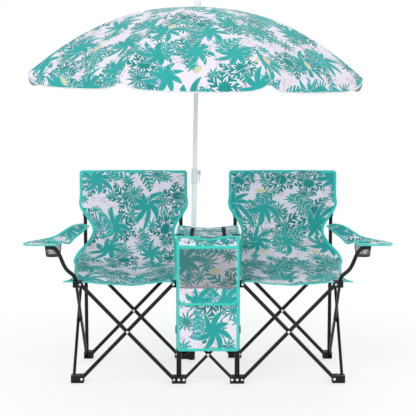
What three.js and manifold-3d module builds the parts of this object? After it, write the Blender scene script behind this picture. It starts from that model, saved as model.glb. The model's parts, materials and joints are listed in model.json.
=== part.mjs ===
// Two folding camp chairs on one frame, with a table and a cool bag between them and a parasol.
// Millimetres, +X to the right as seen from the front, +Y to the rear, +Z up.
// The origin is on the ground, below the parasol's crown along Y and midway between the armrests along X.

import Module from 'manifold-3d';
import * as THREE from 'three';
import { mergeVertices } from 'three/addons/utils/BufferGeometryUtils.js';

const wasm = await Module();
wasm.setup();

// Plan of the folding frame
const crossSpan = 383; // a chair's X, between its rivets, and the side X as well
const crossRise = 400; // from a foot rivet up to a bracket rivet
const centreSpan = 200; // between the inner rivets of the two chairs
const footRivetHeight = 16;
const postStep = 20.5; // from a rivet to the post beside it
const sideInset = 22; // from a row of legs to the side X's rivet
const sideStep = 7; // from the outer post out to the middle of the side X
const poleToRearRow = 40;

// Tubes
const crossTubeRadius = 8;
const slimTubeRadius = 6.5; // side and centre X
const backPostRadius = 8;
const frontPostRadius = 10.5;
const tubeWall = 1.2;
const tubeEnd = 7; // tube beyond its last rivet
const washer = 1; // between two tubes that cross
const tubeSides = 8;

// Rivets
const rivetRadius = 3;
const rivetHoleRadius = 3.35;
const rivetHeadRadius = 5.5;
const rivetHeadHeight = 1.6;
const headSunk = 1; // a head's seat in its own round tube
const rivetSides = 8;

// Moulded feet, brackets and sliders
const footHeight = 30;
const footMargin = 9; // plastic beyond an end rivet, along the row
const cheek = 3; // wall beside a slot
const slotGap = 0.4; // each side of a tube in its slot
const swingGap = 0.9; // round a tube's end as it turns
const slideGap = 0.4; // round a post in its slider
const bracketBelow = 13;
const bracketAbove = 14;
const cornerRadius = 4;
const cornerSteps = 1;
const restGap = 0.3; // between pieces that rest on each other
const overrun = 2; // cutters pass their work by this much
const slopeStepShare = 1e-3; // of a sheet's span, to read its slope
const slotReach = 60; // a slot's cutter, from its rivet to the open end
const footFloor = 5; // under a post, in its foot
const shelfHalfWidth = 12;
const shelfDepth = 14;
const shelfReach = 14; // under the table's rear edge

// Posts and arm posts
const backPostTop = 832;
const armReach = 119; // outwards, from its foot to its end
const armPostRise = 136;
const armOutShares = [0, 0, 0.06, 0.33, 0.55, 0.67, 0.82, 1];
const armUpShares = [0, 0.06, 0.15, 0.37, 0.8, 0.95, 1, 1];
const armSides = 8;
const armSteps = 8;

// Seat and back, one sheet of cloth
const clothThickness = 3;
const backTopHeight = 838;
const seatHeight = 436;
const seatOverhang = 18; // cloth in front of the front row
const seatSag = 20;
const backSag = 14;
const foldDepth = 5;
const foldCount = 3;
const sagEdgeShare = 0.8; // of the half width, where the sag starts
const seatStartShare = 0.15; // of the seat's depth, where the back has turned into the seat
const sleeveGap = 3; // cloth round an arm post
const forwardShares = [0, 0, 0, 0, 0, 0.006, 0.02, 0.06, 0.15, 0.3, 0.5, 0.72, 0.9, 1];
const heightShares = [1, 0.87, 0.74, 0.6, 0.38, 0.24, 0.12, 0.035, 0, 0, 0, 0, 0, 0];
const outerWidthShares = [1.1, 1.1, 1.1, 1.1, 0.84, 0.9, 1.0, 1.09, 1.12, 1.15, 1.18, 1.2, 1.215, 1.22];
const innerWidthShares = [1.13, 1.13, 1.13, 1.13, 0.88, 0.89, 0.9, 0.92, 0.93, 0.93, 0.93, 0.93, 0.93, 0.93];
const sheetColumns = 12;
const sheetRows = 15;

// Armrests, laid out from rear to front
const armrestRearRise = 24;
const armrestThickness = 4;
const armrestFrontGap = 8; // cloth in front of the front row
const armrestReach = 215; // from the outer post to the tip
const armrestInShares = [-0.09, 0.0, 0.12, 0.21, 0.27, 0.3, 0.32, 0.33];
const armrestOutShares = [0.08, 0.19, 0.36, 0.7, 0.96, 1, 1, 0.92];
const armrestForwardShares = [0, 0.22, 0.39, 0.52, 0.65, 0.78, 0.92, 1];
const armrestLiftShares = [1, 0.9, 0.5, 0.2, 0, 0, 0, 0];
const armrestColumns = 4;
const armrestRows = 12;

// Cup holders
const cupRadius = 35;
const cupDepth = 54;
const cupWall = 1.6;
const cupFlange = 5;
const cupToFrontRow = 66;
const cupToOuterPost = 98;
const cupSides = 14;
const cupBaseShare = 0.85; // of the mouth's radius

// Table
const tableHalfWidth = 131;
const tableFrontGap = 35; // from the front row forward
const tableRearGap = 14; // from the rear row forward
const tableFrontHeight = 608;
const tableRearHeight = 600;
const tableThickness = 6;
const poleHoleGap = 4;
const tableSag = 5;
const tableCells = 6;

// Cool bag
const bagHalfWidth = 128;
const bagBottom = 148;
const bagPanelThickness = 9;
const flapThickness = 5.5;
const bagBodyHalfWidth = 100;
const bagBodyBottom = 250;
const bagBodyDepth = 106;
const bagWall = 5;
const flapBottom = 333;
const flapHalfWidth = 124;
const flapCorner = 22;
const bagCorner = 12;
const flapHingeDrop = 3;

// Parasol pole
const poleFootX = -74;
const poleLean = THREE.MathUtils.degToRad(1.07);
const poleRadius = 11;
const poleWall = 1.2;
const upperPoleRadius = 9.5;
const upperPoleWall = 1.2;
const lowerPoleLength = 850;
const upperPoleStart = 600; // hidden in the lower pole
const poleSides = 12;
const socketHeight = 50;
const socketWall = 4;
const socketFloor = 4;
const socketArm = 20;

// Collar and its lever
const collarRadius = 14;
const collarHeight = 65;
const earReach = 27;
const earDepth = 3;
const earHeight = 20;
const leverPinX = 21;
const leverPinDrop = 16; // below the collar's top
const leverPinRadius = 2.2;
const leverHoleRadius = 2.55;
const leverLength = 44;
const leverThickness = 7;
const leverHub = 5;

// Parasol top, heights along the pole
const crownRadius = 18;
const crownDepth = 24;
const crownClear = 0.9; // under the canopy, which slopes away
const neckRadius = 8;
const finialRadius = 16;
const finialDepth = 26;
const nubRadius = 7;
const nubHeight = 24;
const finialWaistShare = 0.9; // of its foot's radius
const nubWaistShare = 0.15; // of the nub's height
const domeHeight = 1549;
const domeRadius = 742;
const domeDrop = 290;
const domePower = 2.2;
const domeHole = 12;
const valanceDepth = 50;
const canopyThickness = 2;
const ribCount = 8;
const canopyRows = 6;
const panelColumns = 2;

// Ribs, runner and stretchers
const ribRadius = 2;
const ribSides = 4;
const ribSteps = 7;
const ribBelowCanopy = 6.2;
const ribTipGap = 4; // from the rib's tip to the canopy's corner
const ribShares = [0, 0.14, 0.28, 0.43, 0.58, 0.72, 0.86, 1];
const ribPinRadius = 1.4;
const ribHoleRadius = 1.8;
const ribPinReach = 13; // from the pole's axis
const ribPinDrop = 11; // below the crown's top
const eyeRadius = 4;
const eyeThickness = 4;
const crownSlotGap = 0.6;
const runnerRadius = 16;
const runnerHeight = 30;
const runnerTop = 1364;
const stretcherReach = 250;
const stretcherRadius = 2.2;
const stretcherClear = 2; // below the rib

// Places that follow from the plan
const innerPostX = centreSpan / 2 + postStep;
const innerRivetX = innerPostX + postStep;
const outerRivetX = innerRivetX + crossSpan;
const outerPostX = outerRivetX + postStep;
const sideX = outerPostX + sideStep;
const rearY = poleToRearRow;
const frontY = rearY - crossSpan - 2 * sideInset;
const bracketRivetHeight = footRivetHeight + crossRise;
const centreRise = (crossRise * centreSpan) / crossSpan;
const centreRivetHeight = footRivetHeight + centreRise;
const crossLength = Math.hypot(crossSpan, crossRise);
const centreLength = Math.hypot(centreSpan, centreRise);
const crossLean = Math.atan2(crossSpan, crossRise);
const crossPlane = crossTubeRadius + washer / 2;
const slimPlane = slimTubeRadius + washer / 2;

const quarterTurn = Math.PI / 2;
const half = 0.5;

// Materials
const finish = (color, roughness, metalness) =>
  new THREE.MeshStandardMaterial({ color, roughness, metalness, side: THREE.DoubleSide });
const tubeBlack = finish(0x15171a, 0.35, 0.4);
const plasticBlack = finish(0x1b1c1f, 0.6, 0);
const printedCloth = finish(0x3fa9a2, 0.85, 0);
const meshCloth = finish(0x2b2e33, 0.9, 0);
const poleWhite = finish(0xe2ebf2, 0.35, 0.1);
const plasticWhite = finish(0xf2f4f6, 0.5, 0);
const ribSteel = finish(0xb9bdc2, 0.35, 0.8);

// Solids

function solid(geometry) {
  const bare = geometry.clone();
  bare.deleteAttribute('normal');
  bare.deleteAttribute('uv');
  const merged = mergeVertices(bare);
  return new wasm.Manifold(
    new wasm.Mesh({
      numProp: 3,
      vertProperties: Float32Array.from(merged.attributes.position.array),
      triVerts: Uint32Array.from(merged.index.array),
    }),
  );
}

function surfaceOf(body) {
  const mesh = body.getMesh();
  const geometry = new THREE.BufferGeometry();
  geometry.setAttribute('position', new THREE.BufferAttribute(mesh.vertProperties, mesh.numProp));
  geometry.setIndex(new THREE.BufferAttribute(mesh.triVerts, 1));
  geometry.computeVertexNormals();
  return geometry;
}

const join = (first, ...others) => others.reduce((body, other) => body.add(other), first);
const cut = (first, ...others) => others.reduce((body, other) => body.subtract(other), first);

/** A block between two corners, in any order. */
function block([x0, y0, z0], [x1, y1, z1]) {
  const shape = new THREE.BoxGeometry(Math.abs(x1 - x0), Math.abs(y1 - y0), Math.abs(z1 - z0));
  return solid(shape.translate((x0 + x1) / 2, (y0 + y1) / 2, (z0 + z1) / 2));
}

/** A rounded rectangle, drawn round its middle. */
function roundedRectangle(width, height, radius) {
  const x = width / 2;
  const y = height / 2;
  const shape = new THREE.Shape();
  shape.moveTo(x, radius - y);
  shape.absarc(x - radius, y - radius, radius, 0, quarterTurn);
  shape.absarc(radius - x, y - radius, radius, quarterTurn, 2 * quarterTurn);
  shape.absarc(radius - x, radius - y, radius, 2 * quarterTurn, 3 * quarterTurn);
  shape.absarc(x - radius, radius - y, radius, 3 * quarterTurn, 4 * quarterTurn);
  return shape;
}

/** A flat outline given a depth along Z. */
const extruded = (outline, depth) =>
  new THREE.ExtrudeGeometry(outline, { depth, bevelEnabled: false, curveSegments: cornerSteps });

/** A block with upright edges rounded, between two corners. */
function roundedBlock([x0, y0, z0], [x1, y1, z1], radius) {
  const outline = roundedRectangle(Math.abs(x1 - x0), Math.abs(y1 - y0), radius);
  const shape = extruded(outline, Math.abs(z1 - z0));
  return solid(shape.translate((x0 + x1) / 2, (y0 + y1) / 2, Math.min(z0, z1)));
}

/** A round bar along an axis, from one end to the other, with its axis through [x, y, z] elsewhere. */
function bar(radius, axis, from, to, sides, at = [0, 0, 0]) {
  const shape = new THREE.CylinderGeometry(radius, radius, to - from, sides);
  const middle = new THREE.Vector3(...at);
  middle[axis] = (from + to) / 2;
  if (axis === 'z') shape.rotateX(quarterTurn);
  if (axis === 'x') shape.rotateZ(quarterTurn);
  return solid(shape.translate(middle.x, middle.y, middle.z));
}

/** A turned piece about Z, from a closed profile of [radius, height] pairs. */
function turned(profile, sides) {
  const points = profile.map(([radius, height]) => new THREE.Vector2(radius, height));
  return solid(new THREE.LatheGeometry(points, sides).rotateX(quarterTurn));
}

/** A length of pipe along Z. */
function pipe(outer, inner, z0, z1, sides) {
  return turned([[inner, z0], [outer, z0], [outer, z1], [inner, z1], [inner, z0]], sides);
}

/** A rivet along an axis between two faces, with a head outside each. */
function rivet(axis, from, to, at) {
  const low = from - rivetHeadHeight;
  const high = to + rivetHeadHeight;
  const stem = bar(rivetRadius, axis, low, high, rivetSides, at);
  const nearHead = bar(rivetHeadRadius, axis, low, from, rivetSides, at);
  const farHead = bar(rivetHeadRadius, axis, to, high, rivetSides, at);
  return join(stem, nearHead, farHead);
}

/** A round or flat section drawn along a smooth path of points. */
function swept(section, points, steps) {
  const path = new THREE.CatmullRomCurve3(points, false, 'centripetal');
  return new THREE.ExtrudeGeometry(section, { extrudePath: path, steps, bevelEnabled: false });
}

/** A round section. */
function roundSection(radius, sides) {
  const corner = (index) => {
    const angle = (index / sides) * 2 * Math.PI;
    return new THREE.Vector2(radius * Math.cos(angle), radius * Math.sin(angle));
  };
  return new THREE.Shape(Array.from({ length: sides }, (_, index) => corner(index)));
}

/**
 * A sheet of even thickness round a curved middle surface, as one closed body.
 * middle(u, v) gives a point for shares u across and v along. A ring closes on itself across.
 */
function sheet(middle, columns, rows, thickness, ring = false) {
  const across = ring ? columns : columns + 1;
  const positions = [];
  const faces = [];
  for (const side of [half, -half]) {
    for (let row = 0; row <= rows; row += 1) {
      for (let column = 0; column < across; column += 1) {
        const u = column / columns;
        const v = row / rows;
        const u0 = ring ? u - slopeStepShare : Math.max(u - slopeStepShare, 0);
        const u1 = ring ? u + slopeStepShare : Math.min(u + slopeStepShare, 1);
        const v0 = Math.max(v - slopeStepShare, 0);
        const v1 = Math.min(v + slopeStepShare, 1);
        const alongU = middle(u1, v).sub(middle(u0, v));
        const alongV = middle(u, v1).sub(middle(u, v0));
        const normal = alongU.cross(alongV).normalize();
        positions.push(...middle(u, v).addScaledVector(normal, side * thickness));
      }
    }
  }
  const layer = across * (rows + 1);
  const at = (row, column, face) => face * layer + row * across + (column % across);
  const quad = (a, b, c, d) => faces.push(a, b, c, a, c, d);
  for (let row = 0; row < rows; row += 1) {
    for (let column = 0; column < columns; column += 1) {
      quad(at(row, column, 0), at(row, column + 1, 0), at(row + 1, column + 1, 0), at(row + 1, column, 0));
      quad(at(row, column, 1), at(row + 1, column, 1), at(row + 1, column + 1, 1), at(row, column + 1, 1));
    }
    if (!ring) {
      quad(at(row, 0, 0), at(row + 1, 0, 0), at(row + 1, 0, 1), at(row, 0, 1));
      quad(at(row, columns, 0), at(row, columns, 1), at(row + 1, columns, 1), at(row + 1, columns, 0));
    }
  }
  for (let column = 0; column < columns; column += 1) {
    quad(at(0, column, 0), at(0, column, 1), at(0, column + 1, 1), at(0, column + 1, 0));
    quad(at(rows, column, 0), at(rows, column + 1, 0), at(rows, column + 1, 1), at(rows, column, 1));
  }
  const geometry = new THREE.BufferGeometry();
  geometry.setAttribute('position', new THREE.Float32BufferAttribute(positions, 3));
  geometry.setIndex(faces);
  geometry.computeVertexNormals();
  return geometry;
}

/** The value at share v of a row of shares that are evenly spaced, drawn smooth between them. */
function along(shares, v) {
  const place = v * (shares.length - 1);
  const start = Math.min(Math.floor(place), shares.length - 2);
  const eased = THREE.MathUtils.smoothstep(place - start, 0, 1) * half + (place - start) * half;
  return THREE.MathUtils.lerp(shares[start], shares[start + 1], eased);
}

// Pieces, each a name, a surface, a finish and its place

const group = new THREE.Group();
group.name = 'umbrella_chair';

/** Mirrors a surface in X and keeps its faces pointing out. */
function mirrored(geometry) {
  const copy = geometry.index ? geometry.toNonIndexed() : geometry.clone();
  const corners = copy.attributes.position;
  for (let corner = 0; corner < corners.count; corner += 3) {
    const cornerAt = (step) => new THREE.Vector3().fromBufferAttribute(corners, corner + step);
    const [a, b, c] = [0, 1, 2].map(cornerAt);
    [a, c, b].forEach((point, step) => corners.setXYZ(corner + step, -point.x, point.y, point.z));
  }
  copy.computeVertexNormals();
  return copy;
}

/** Adds a piece. Pieces are drawn for the left of the picture, at -X; side 1 mirrors them to +X. */
function add(name, shape, material, { side = -1, at = [0, 0, 0], turn = [0, 0, 0], parent = group } = {}) {
  const surface = shape instanceof THREE.BufferGeometry ? shape : surfaceOf(shape);
  const piece = new THREE.Mesh(side === 1 ? mirrored(surface) : surface, material);
  piece.name = name;
  piece.position.set(-side * at[0], at[1], at[2]);
  piece.rotation.set(turn[0], -side * turn[1], -side * turn[2]);
  parent.add(piece);
  return piece;
}

// Feet, brackets and sliders

/** The room that a tube end needs in its slot: open along its lean and up or down its tube. */
function slotFor({ axis, at, radius, lean, up }) {
  const swing = Math.hypot(tubeEnd, radius) + swingGap;
  const leaning = axis === 'y' ? 'x' : 'y';
  const near = new THREE.Vector3(...at);
  const far = near.clone();
  near[axis] -= radius + slotGap;
  far[axis] += radius + slotGap;
  near[leaning] -= lean * swing;
  far[leaning] += lean * slotReach;
  near.z -= up * swing;
  far.z += up * slotReach;
  return block(near.toArray(), far.toArray());
}

/** The rivet that crosses a slot from cheek to cheek. */
function rivetFor({ axis, at, radius }) {
  const middle = new THREE.Vector3(...at)[axis];
  const reach = radius + slotGap + cheek;
  return rivet(axis, middle - reach, middle + reach, at);
}

/** A moulded block with a slot and a rivet for each tube end. */
function moulding(low, high, forks) {
  const slotted = cut(roundedBlock(low, high, cornerRadius), ...forks.map(slotFor));
  return join(slotted, ...forks.map(rivetFor));
}

/** The fork for one tube end of a chair's X, of the centre X or of a side X. */
const crossFork = (at, lean, up) => ({ axis: 'y', at, radius: crossTubeRadius, lean, up });
const centreFork = (at, lean, up) => ({ axis: 'y', at, radius: slimTubeRadius, lean, up });
const sideFork = (at, lean, up) => ({ axis: 'x', at, radius: slimTubeRadius, lean, up });

const crossWide = crossPlane + crossTubeRadius + slotGap + cheek;
const slimWide = slimPlane + slimTubeRadius + slotGap + cheek;
const postWide = (radius) => radius + slideGap + cheek;

/** The foot of an outer leg. The foot of the rear row carries the back post. */
function outerFoot(row) {
  const sidePlane = row.out > 0 ? sideX - slimPlane : sideX + slimPlane;
  const sideY = row.y - row.out * sideInset;
  const forks = [
    crossFork([-outerRivetX, row.y - row.out * crossPlane, footRivetHeight], 1, 1),
    sideFork([-sidePlane, sideY, footRivetHeight], -row.out, 1),
  ];
  const sideReach = sidePlane + slimTubeRadius + slotGap + cheek;
  const reach = Math.max(sideReach, outerPostX + postWide(backPostRadius));
  const low = [-reach, row.y + row.out * postWide(backPostRadius), 0];
  const high = [footMargin - outerRivetX, sideY - row.out * footMargin, footHeight];
  return moulding(low, high, forks);
}

/** The foot of an inner leg, with a slot for the chair's X and one for the centre X. */
function innerFoot(row, centreSide) {
  const forks = [
    crossFork([-innerRivetX, row.y + row.out * crossPlane, footRivetHeight], -1, 1),
    centreFork([-centreSpan / 2, row.y + centreSide * row.out * slimPlane, footRivetHeight], 1, 1),
  ];
  const low = [-innerRivetX - footMargin, row.y + row.out * crossWide, 0];
  const high = [footMargin - centreSpan / 2, row.y - row.out * slimWide, footHeight];
  return moulding(low, high, forks);
}

/** A post that stands in its foot. */
function post(x, y, radius, top) {
  const tube = new THREE.LatheGeometry(
    [
      new THREE.Vector2(radius - tubeWall, footFloor),
      new THREE.Vector2(radius, footFloor),
      new THREE.Vector2(radius, top),
      new THREE.Vector2(radius - tubeWall, top),
      new THREE.Vector2(radius - tubeWall, footFloor),
    ],
    tubeSides,
  );
  return solid(tube.rotateX(quarterTurn).translate(x, y, 0));
}

const tableLine = (v) => THREE.MathUtils.lerp(tableFrontHeight, tableRearHeight, v);
const tableFrontY = frontY - tableFrontGap;
const tableRearY = rearY - tableRearGap;
const tableShareAt = (y) => (y - tableFrontY) / (tableRearY - tableFrontY);
const tableUnderside = (y) => tableLine(tableShareAt(y)) - tableThickness / 2 - restGap;

/** The small shelf on a rear inner post that the table's corner lies on. */
function tableShelf() {
  const top = tableUnderside(tableRearY);
  const low = [-innerPostX - shelfHalfWidth, rearY, top - shelfDepth];
  return block(low, [shelfHalfWidth - innerPostX, tableRearY - shelfReach, top]);
}

/** The socket for the pole, on an arm of the left rear inner foot. */
function poleSocket(leg) {
  const placed = (shape) => solid(shape.rotateX(quarterTurn).rotateY(poleLean).translate(poleFootX, 0, 0));
  const bore = poleRadius + slideGap;
  const height = socketHeight - socketFloor;
  const wall = new THREE.CylinderGeometry(bore + socketWall, bore + socketWall, height, poleSides);
  const hole = new THREE.CylinderGeometry(bore, bore, socketHeight, poleSides);
  const arm = block([-innerPostX, 0, 0], [poleFootX, rearY - slimPlane, socketArm]);
  const skirt = bar(bore + socketWall, 'z', 0, socketArm, poleSides, [poleFootX, 0, 0]);
  const outside = join(leg, arm, skirt, placed(wall.translate(0, height / 2 + socketFloor, 0)));
  return cut(outside, placed(hole.translate(0, socketHeight / 2 + socketFloor, 0)));
}

const rows = [
  { name: 'front', y: frontY, out: -1, postRadius: frontPostRadius },
  { name: 'rear', y: rearY, out: 1, postRadius: backPostRadius },
];
const sides = [
  { name: 'left', side: -1 },
  { name: 'right', side: 1 },
];

for (const { name, side } of sides) {
  const [front, rear] = rows;
  const outerPost = post(-outerPostX, rearY, backPostRadius, backPostTop);
  const innerPost = post(-innerPostX, rearY, backPostRadius, backPostTop);
  const frontPost = post(-innerPostX, frontY, frontPostRadius, tableUnderside(frontY));
  const rearInner = join(innerFoot(rear, -side), innerPost, tableShelf());
  add(`${name}_front_outer_foot`, outerFoot(front), plasticBlack, { side });
  add(`${name}_front_inner_leg`, join(innerFoot(front, -side), frontPost), tubeBlack, { side });
  add(`${name}_rear_outer_leg`, join(outerFoot(rear), outerPost), tubeBlack, { side });
  add(`${name}_rear_inner_leg`, side === -1 ? poleSocket(rearInner) : rearInner, tubeBlack, { side });
}

// Crossed tubes

/** One tube of an X, drawn up from its foot rivet. With a mate, it carries the middle rivet on that side. */
function crossTube(radius, length, mate) {
  const hole = (z) => bar(rivetHoleRadius, 'y', -radius - overrun, radius + overrun, rivetSides, [0, 0, z]);
  const whole = pipe(radius, radius - tubeWall, -tubeEnd, length + tubeEnd, tubeSides);
  const tube = cut(whole, hole(0), hole(length));
  if (!mate) return cut(tube, hole(length / 2));
  const near = mate * (headSunk - radius);
  const far = mate * (3 * radius + washer + restGap);
  return join(tube, rivet('y', Math.min(near, far), Math.max(near, far), [0, 0, length / 2]));
}

for (const { name, side } of sides) {
  for (const row of rows) {
    const outPlane = row.y + row.out * crossPlane;
    const inPlane = row.y - row.out * crossPlane;
    add(`${name}_${row.name}_cross_1`, crossTube(crossTubeRadius, crossLength, -row.out), tubeBlack, {
      side,
      at: [-innerRivetX, outPlane, footRivetHeight],
      turn: [0, -crossLean, 0],
    });
    add(`${name}_${row.name}_cross_2`, crossTube(crossTubeRadius, crossLength, 0), tubeBlack, {
      side,
      at: [-outerRivetX, inPlane, footRivetHeight],
      turn: [0, crossLean, 0],
    });
  }
  add(`${name}_side_cross_1`, crossTube(slimTubeRadius, crossLength, 1), tubeBlack, {
    side,
    at: [slimPlane - sideX, rearY - sideInset, footRivetHeight],
    turn: [crossLean, 0, quarterTurn],
  });
  add(`${name}_side_cross_2`, crossTube(slimTubeRadius, crossLength, 0), tubeBlack, {
    side,
    at: [-slimPlane - sideX, frontY + sideInset, footRivetHeight],
    turn: [-crossLean, 0, quarterTurn],
  });
}

for (const row of rows) {
  add(`centre_${row.name}_cross_1`, crossTube(slimTubeRadius, centreLength, -row.out), tubeBlack, {
    at: [-centreSpan / 2, row.y + row.out * slimPlane, footRivetHeight],
    turn: [0, crossLean, 0],
  });
  add(`centre_${row.name}_cross_2`, crossTube(slimTubeRadius, centreLength, 0), tubeBlack, {
    at: [centreSpan / 2, row.y - row.out * slimPlane, footRivetHeight],
    turn: [0, -crossLean, 0],
  });
}

// Brackets and sliders, each drawn at its height with its tubes below it

/** Bores a slider for its post. */
function bored(body, x, y, radius, height) {
  const from = height - 2 * bracketBelow;
  const to = height + 2 * bracketAbove;
  return cut(body, bar(radius + slideGap, 'z', from, to, poleSides, [x, y, 0]));
}

/** The block of a bracket or slider at a height, between two corners of its plan. */
const bracket = (height, [x0, y0], [x1, y1], forks) =>
  moulding([x0, y0, height - bracketBelow], [x1, y1, height + bracketAbove], forks);

/** The bracket over the front outer foot, which carries the arm post. */
function frontOuterBracket() {
  const height = bracketRivetHeight;
  const forks = [
    sideFork([slimPlane - sideX, frontY + sideInset, height], 1, -1),
    crossFork([-outerRivetX, frontY - crossPlane, height], 1, -1),
  ];
  const low = [slimPlane - sideX - slimTubeRadius - slotGap - cheek, frontY - crossWide];
  const high = [footMargin - outerRivetX, frontY + sideInset + footMargin];
  return bracket(height, low, high, forks);
}

/** The slider on a rear outer leg, for the tops of the rear X and the side X. */
function rearOuterSlider() {
  const height = bracketRivetHeight;
  const forks = [
    sideFork([-slimPlane - sideX, rearY - sideInset, height], -1, -1),
    crossFork([-outerRivetX, rearY + crossPlane, height], 1, -1),
  ];
  const low = [-sideX - slimWide, rearY - sideInset - footMargin];
  const high = [footMargin - outerRivetX, rearY + crossWide];
  return bored(bracket(height, low, high, forks), -outerPostX, rearY, backPostRadius, height);
}

/** A slider on an inner post, for the top of a chair's X. */
function innerSlider(row) {
  const height = bracketRivetHeight;
  const wide = postWide(row.postRadius);
  const forks = [crossFork([-innerRivetX, row.y - row.out * crossPlane, height], -1, -1)];
  const low = [-innerRivetX - footMargin, row.y + row.out * wide];
  const high = [wide - innerPostX, row.y - row.out * crossWide];
  return bored(bracket(height, low, high, forks), -innerPostX, row.y, row.postRadius, height);
}

/** A slider on an inner post, for the top of the centre X. */
function centreSlider(row, centreSide) {
  const height = centreRivetHeight;
  const wide = postWide(row.postRadius);
  const deep = Math.max(slimWide, wide);
  const forks = [centreFork([-centreSpan / 2, row.y + centreSide * row.out * slimPlane, height], 1, -1)];
  const low = [-innerPostX - wide, row.y - deep];
  const high = [footMargin - centreSpan / 2, row.y + deep];
  return bored(bracket(height, low, high, forks), -innerPostX, row.y, row.postRadius, height);
}

const armFoot = [-outerPostX, frontY, bracketRivetHeight + bracketAbove + restGap];
const armPath = armOutShares.map((out, index) => {
  const up = armUpShares[index];
  return new THREE.Vector3(armFoot[0] - out * armReach, armFoot[1], armFoot[2] + up * armPostRise);
});
const armPost = (radius) => swept(roundSection(radius, armSides), armPath, armSteps);

for (const { name, side } of sides) {
  add(`${name}_front_outer_bracket`, frontOuterBracket(), plasticBlack, { side });
  add(`${name}_rear_outer_slider`, rearOuterSlider(), plasticBlack, { side });
  add(`${name}_arm_post`, armPost(crossTubeRadius), tubeBlack, { side });
  for (const row of rows) {
    add(`${name}_${row.name}_inner_slider`, innerSlider(row), plasticBlack, { side });
    add(`${name}_${row.name}_centre_slider`, centreSlider(row, side), plasticBlack, { side });
  }
}

// Cloth of the chairs

const chairMiddle = (innerPostX + outerPostX) / 2;
const halfPosts = (outerPostX - innerPostX) / 2;
const sagAcross = (s) => THREE.MathUtils.smoothstep(1 - Math.abs(s) / sagEdgeShare, 0, 1);

const backY = rearY - backPostRadius - restGap - clothThickness / 2;

/** The middle of the back and seat, for shares u across and v from the back's top to the seat's front. */
function seatPoint(u, v) {
  const s = 2 * u - 1;
  const wide = halfPosts * along(s < 0 ? outerWidthShares : innerWidthShares, v);
  const forward = along(forwardShares, v);
  const seatPart = THREE.MathUtils.smoothstep(forward, 0, 2 * seatStartShare);
  const fold = foldDepth * Math.cos(foldCount * Math.PI * s) * (1 - forward);
  const height = THREE.MathUtils.lerp(seatHeight, backTopHeight, along(heightShares, v));
  return new THREE.Vector3(
    s * wide - chairMiddle,
    THREE.MathUtils.lerp(backY, frontY - seatOverhang, forward) + backSag * sagAcross(s) * (1 - seatPart),
    height - (seatSag + fold) * sagAcross(s) * seatPart,
  );
}

const armrestHeight = armFoot[2] + armPostRise + crossTubeRadius + restGap + armrestThickness / 2;

/** The middle of the armrest, from its outer edge to its inner one and from rear to front. */
function armrestPoint(u, v) {
  const out = THREE.MathUtils.lerp(along(armrestOutShares, v), along(armrestInShares, v), u);
  const forward = along(armrestForwardShares, v);
  return new THREE.Vector3(
    -outerPostX - out * armrestReach,
    THREE.MathUtils.lerp(backY - clothThickness / 2 - 2 * restGap, frontY - armrestFrontGap, forward),
    armrestHeight + armrestRearRise * along(armrestLiftShares, v),
  );
}

const cupX = -outerPostX - cupToOuterPost;
const cupY = frontY + cupToFrontRow;
const cupTop = armrestHeight - armrestThickness / 2 - restGap;

/** The mesh cup, open at the top, hung from its flange. */
function cupHolder() {
  const inside = cupRadius - cupWall;
  return turned(
    [
      [0, -cupDepth],
      [cupRadius * cupBaseShare, -cupDepth],
      [cupRadius, -cupFlange],
      [cupRadius + cupFlange, -cupWall],
      [cupRadius + cupFlange, 0],
      [inside, 0],
      [inside * cupBaseShare, cupWall - cupDepth],
      [0, cupWall - cupDepth],
    ],
    cupSides,
  );
}

for (const { name, side } of sides) {
  const seat = solid(sheet(seatPoint, sheetColumns, sheetRows, clothThickness));
  const seatCut = solid(armPost(crossTubeRadius + sleeveGap));
  const armrest = solid(sheet(armrestPoint, armrestColumns, armrestRows, armrestThickness));
  const cupHoleTop = armrestHeight + armrestThickness;
  const cupHole = bar(cupRadius, 'z', cupTop - overrun, cupHoleTop, cupSides, [cupX, cupY, 0]);
  add(`${name}_seat_and_back`, cut(seat, seatCut), printedCloth, { side });
  add(`${name}_armrest`, cut(armrest, cupHole), printedCloth, { side });
  add(`${name}_cup_holder`, cupHolder(), meshCloth, { side, at: [cupX, cupY, cupTop] });
}

// Table and cool bag

/** The middle of the table top, which sags to its front. */
function tablePoint(u, v) {
  const s = 2 * u - 1;
  const y = THREE.MathUtils.lerp(tableFrontY, tableRearY, v);
  return new THREE.Vector3(s * tableHalfWidth, y, tableLine(v) - tableSag * sagAcross(s) * (1 - v));
}

const poleMiddleX = poleFootX + Math.tan(poleLean) * tableRearHeight;
const poleHole = bar(
  poleRadius + poleHoleGap,
  'z',
  tableRearHeight - 2 * tableThickness,
  tableRearHeight + 2 * tableThickness,
  poleSides,
  [poleMiddleX, 0, 0],
);
const tableSheet = solid(sheet(tablePoint, tableCells, tableCells, tableThickness));
add('table_top', cut(tableSheet, poleHole), printedCloth);

/** A panel that hangs from z = 0, with its lower corners rounded, from y = 0 back. */
function hangingPanel(halfWidth, height, corner, thickness) {
  const outline = new THREE.Shape();
  outline.moveTo(halfWidth, 0);
  outline.lineTo(-halfWidth, 0);
  outline.lineTo(-halfWidth, corner - height);
  outline.absarc(corner - halfWidth, corner - height, corner, 2 * quarterTurn, 3 * quarterTurn);
  outline.absarc(halfWidth - corner, corner - height, corner, 3 * quarterTurn, 4 * quarterTurn);
  return extruded(outline, thickness).rotateX(quarterTurn).translate(0, thickness, 0);
}

const bagFrontY = tableFrontY;
const bagPanelY = bagFrontY + flapThickness + restGap;
const bagBackY = bagPanelY + bagPanelThickness + bagBodyDepth;
const bagTop = tableUnderside(bagBackY) - tableSag * (1 - tableShareAt(bagBackY));

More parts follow.
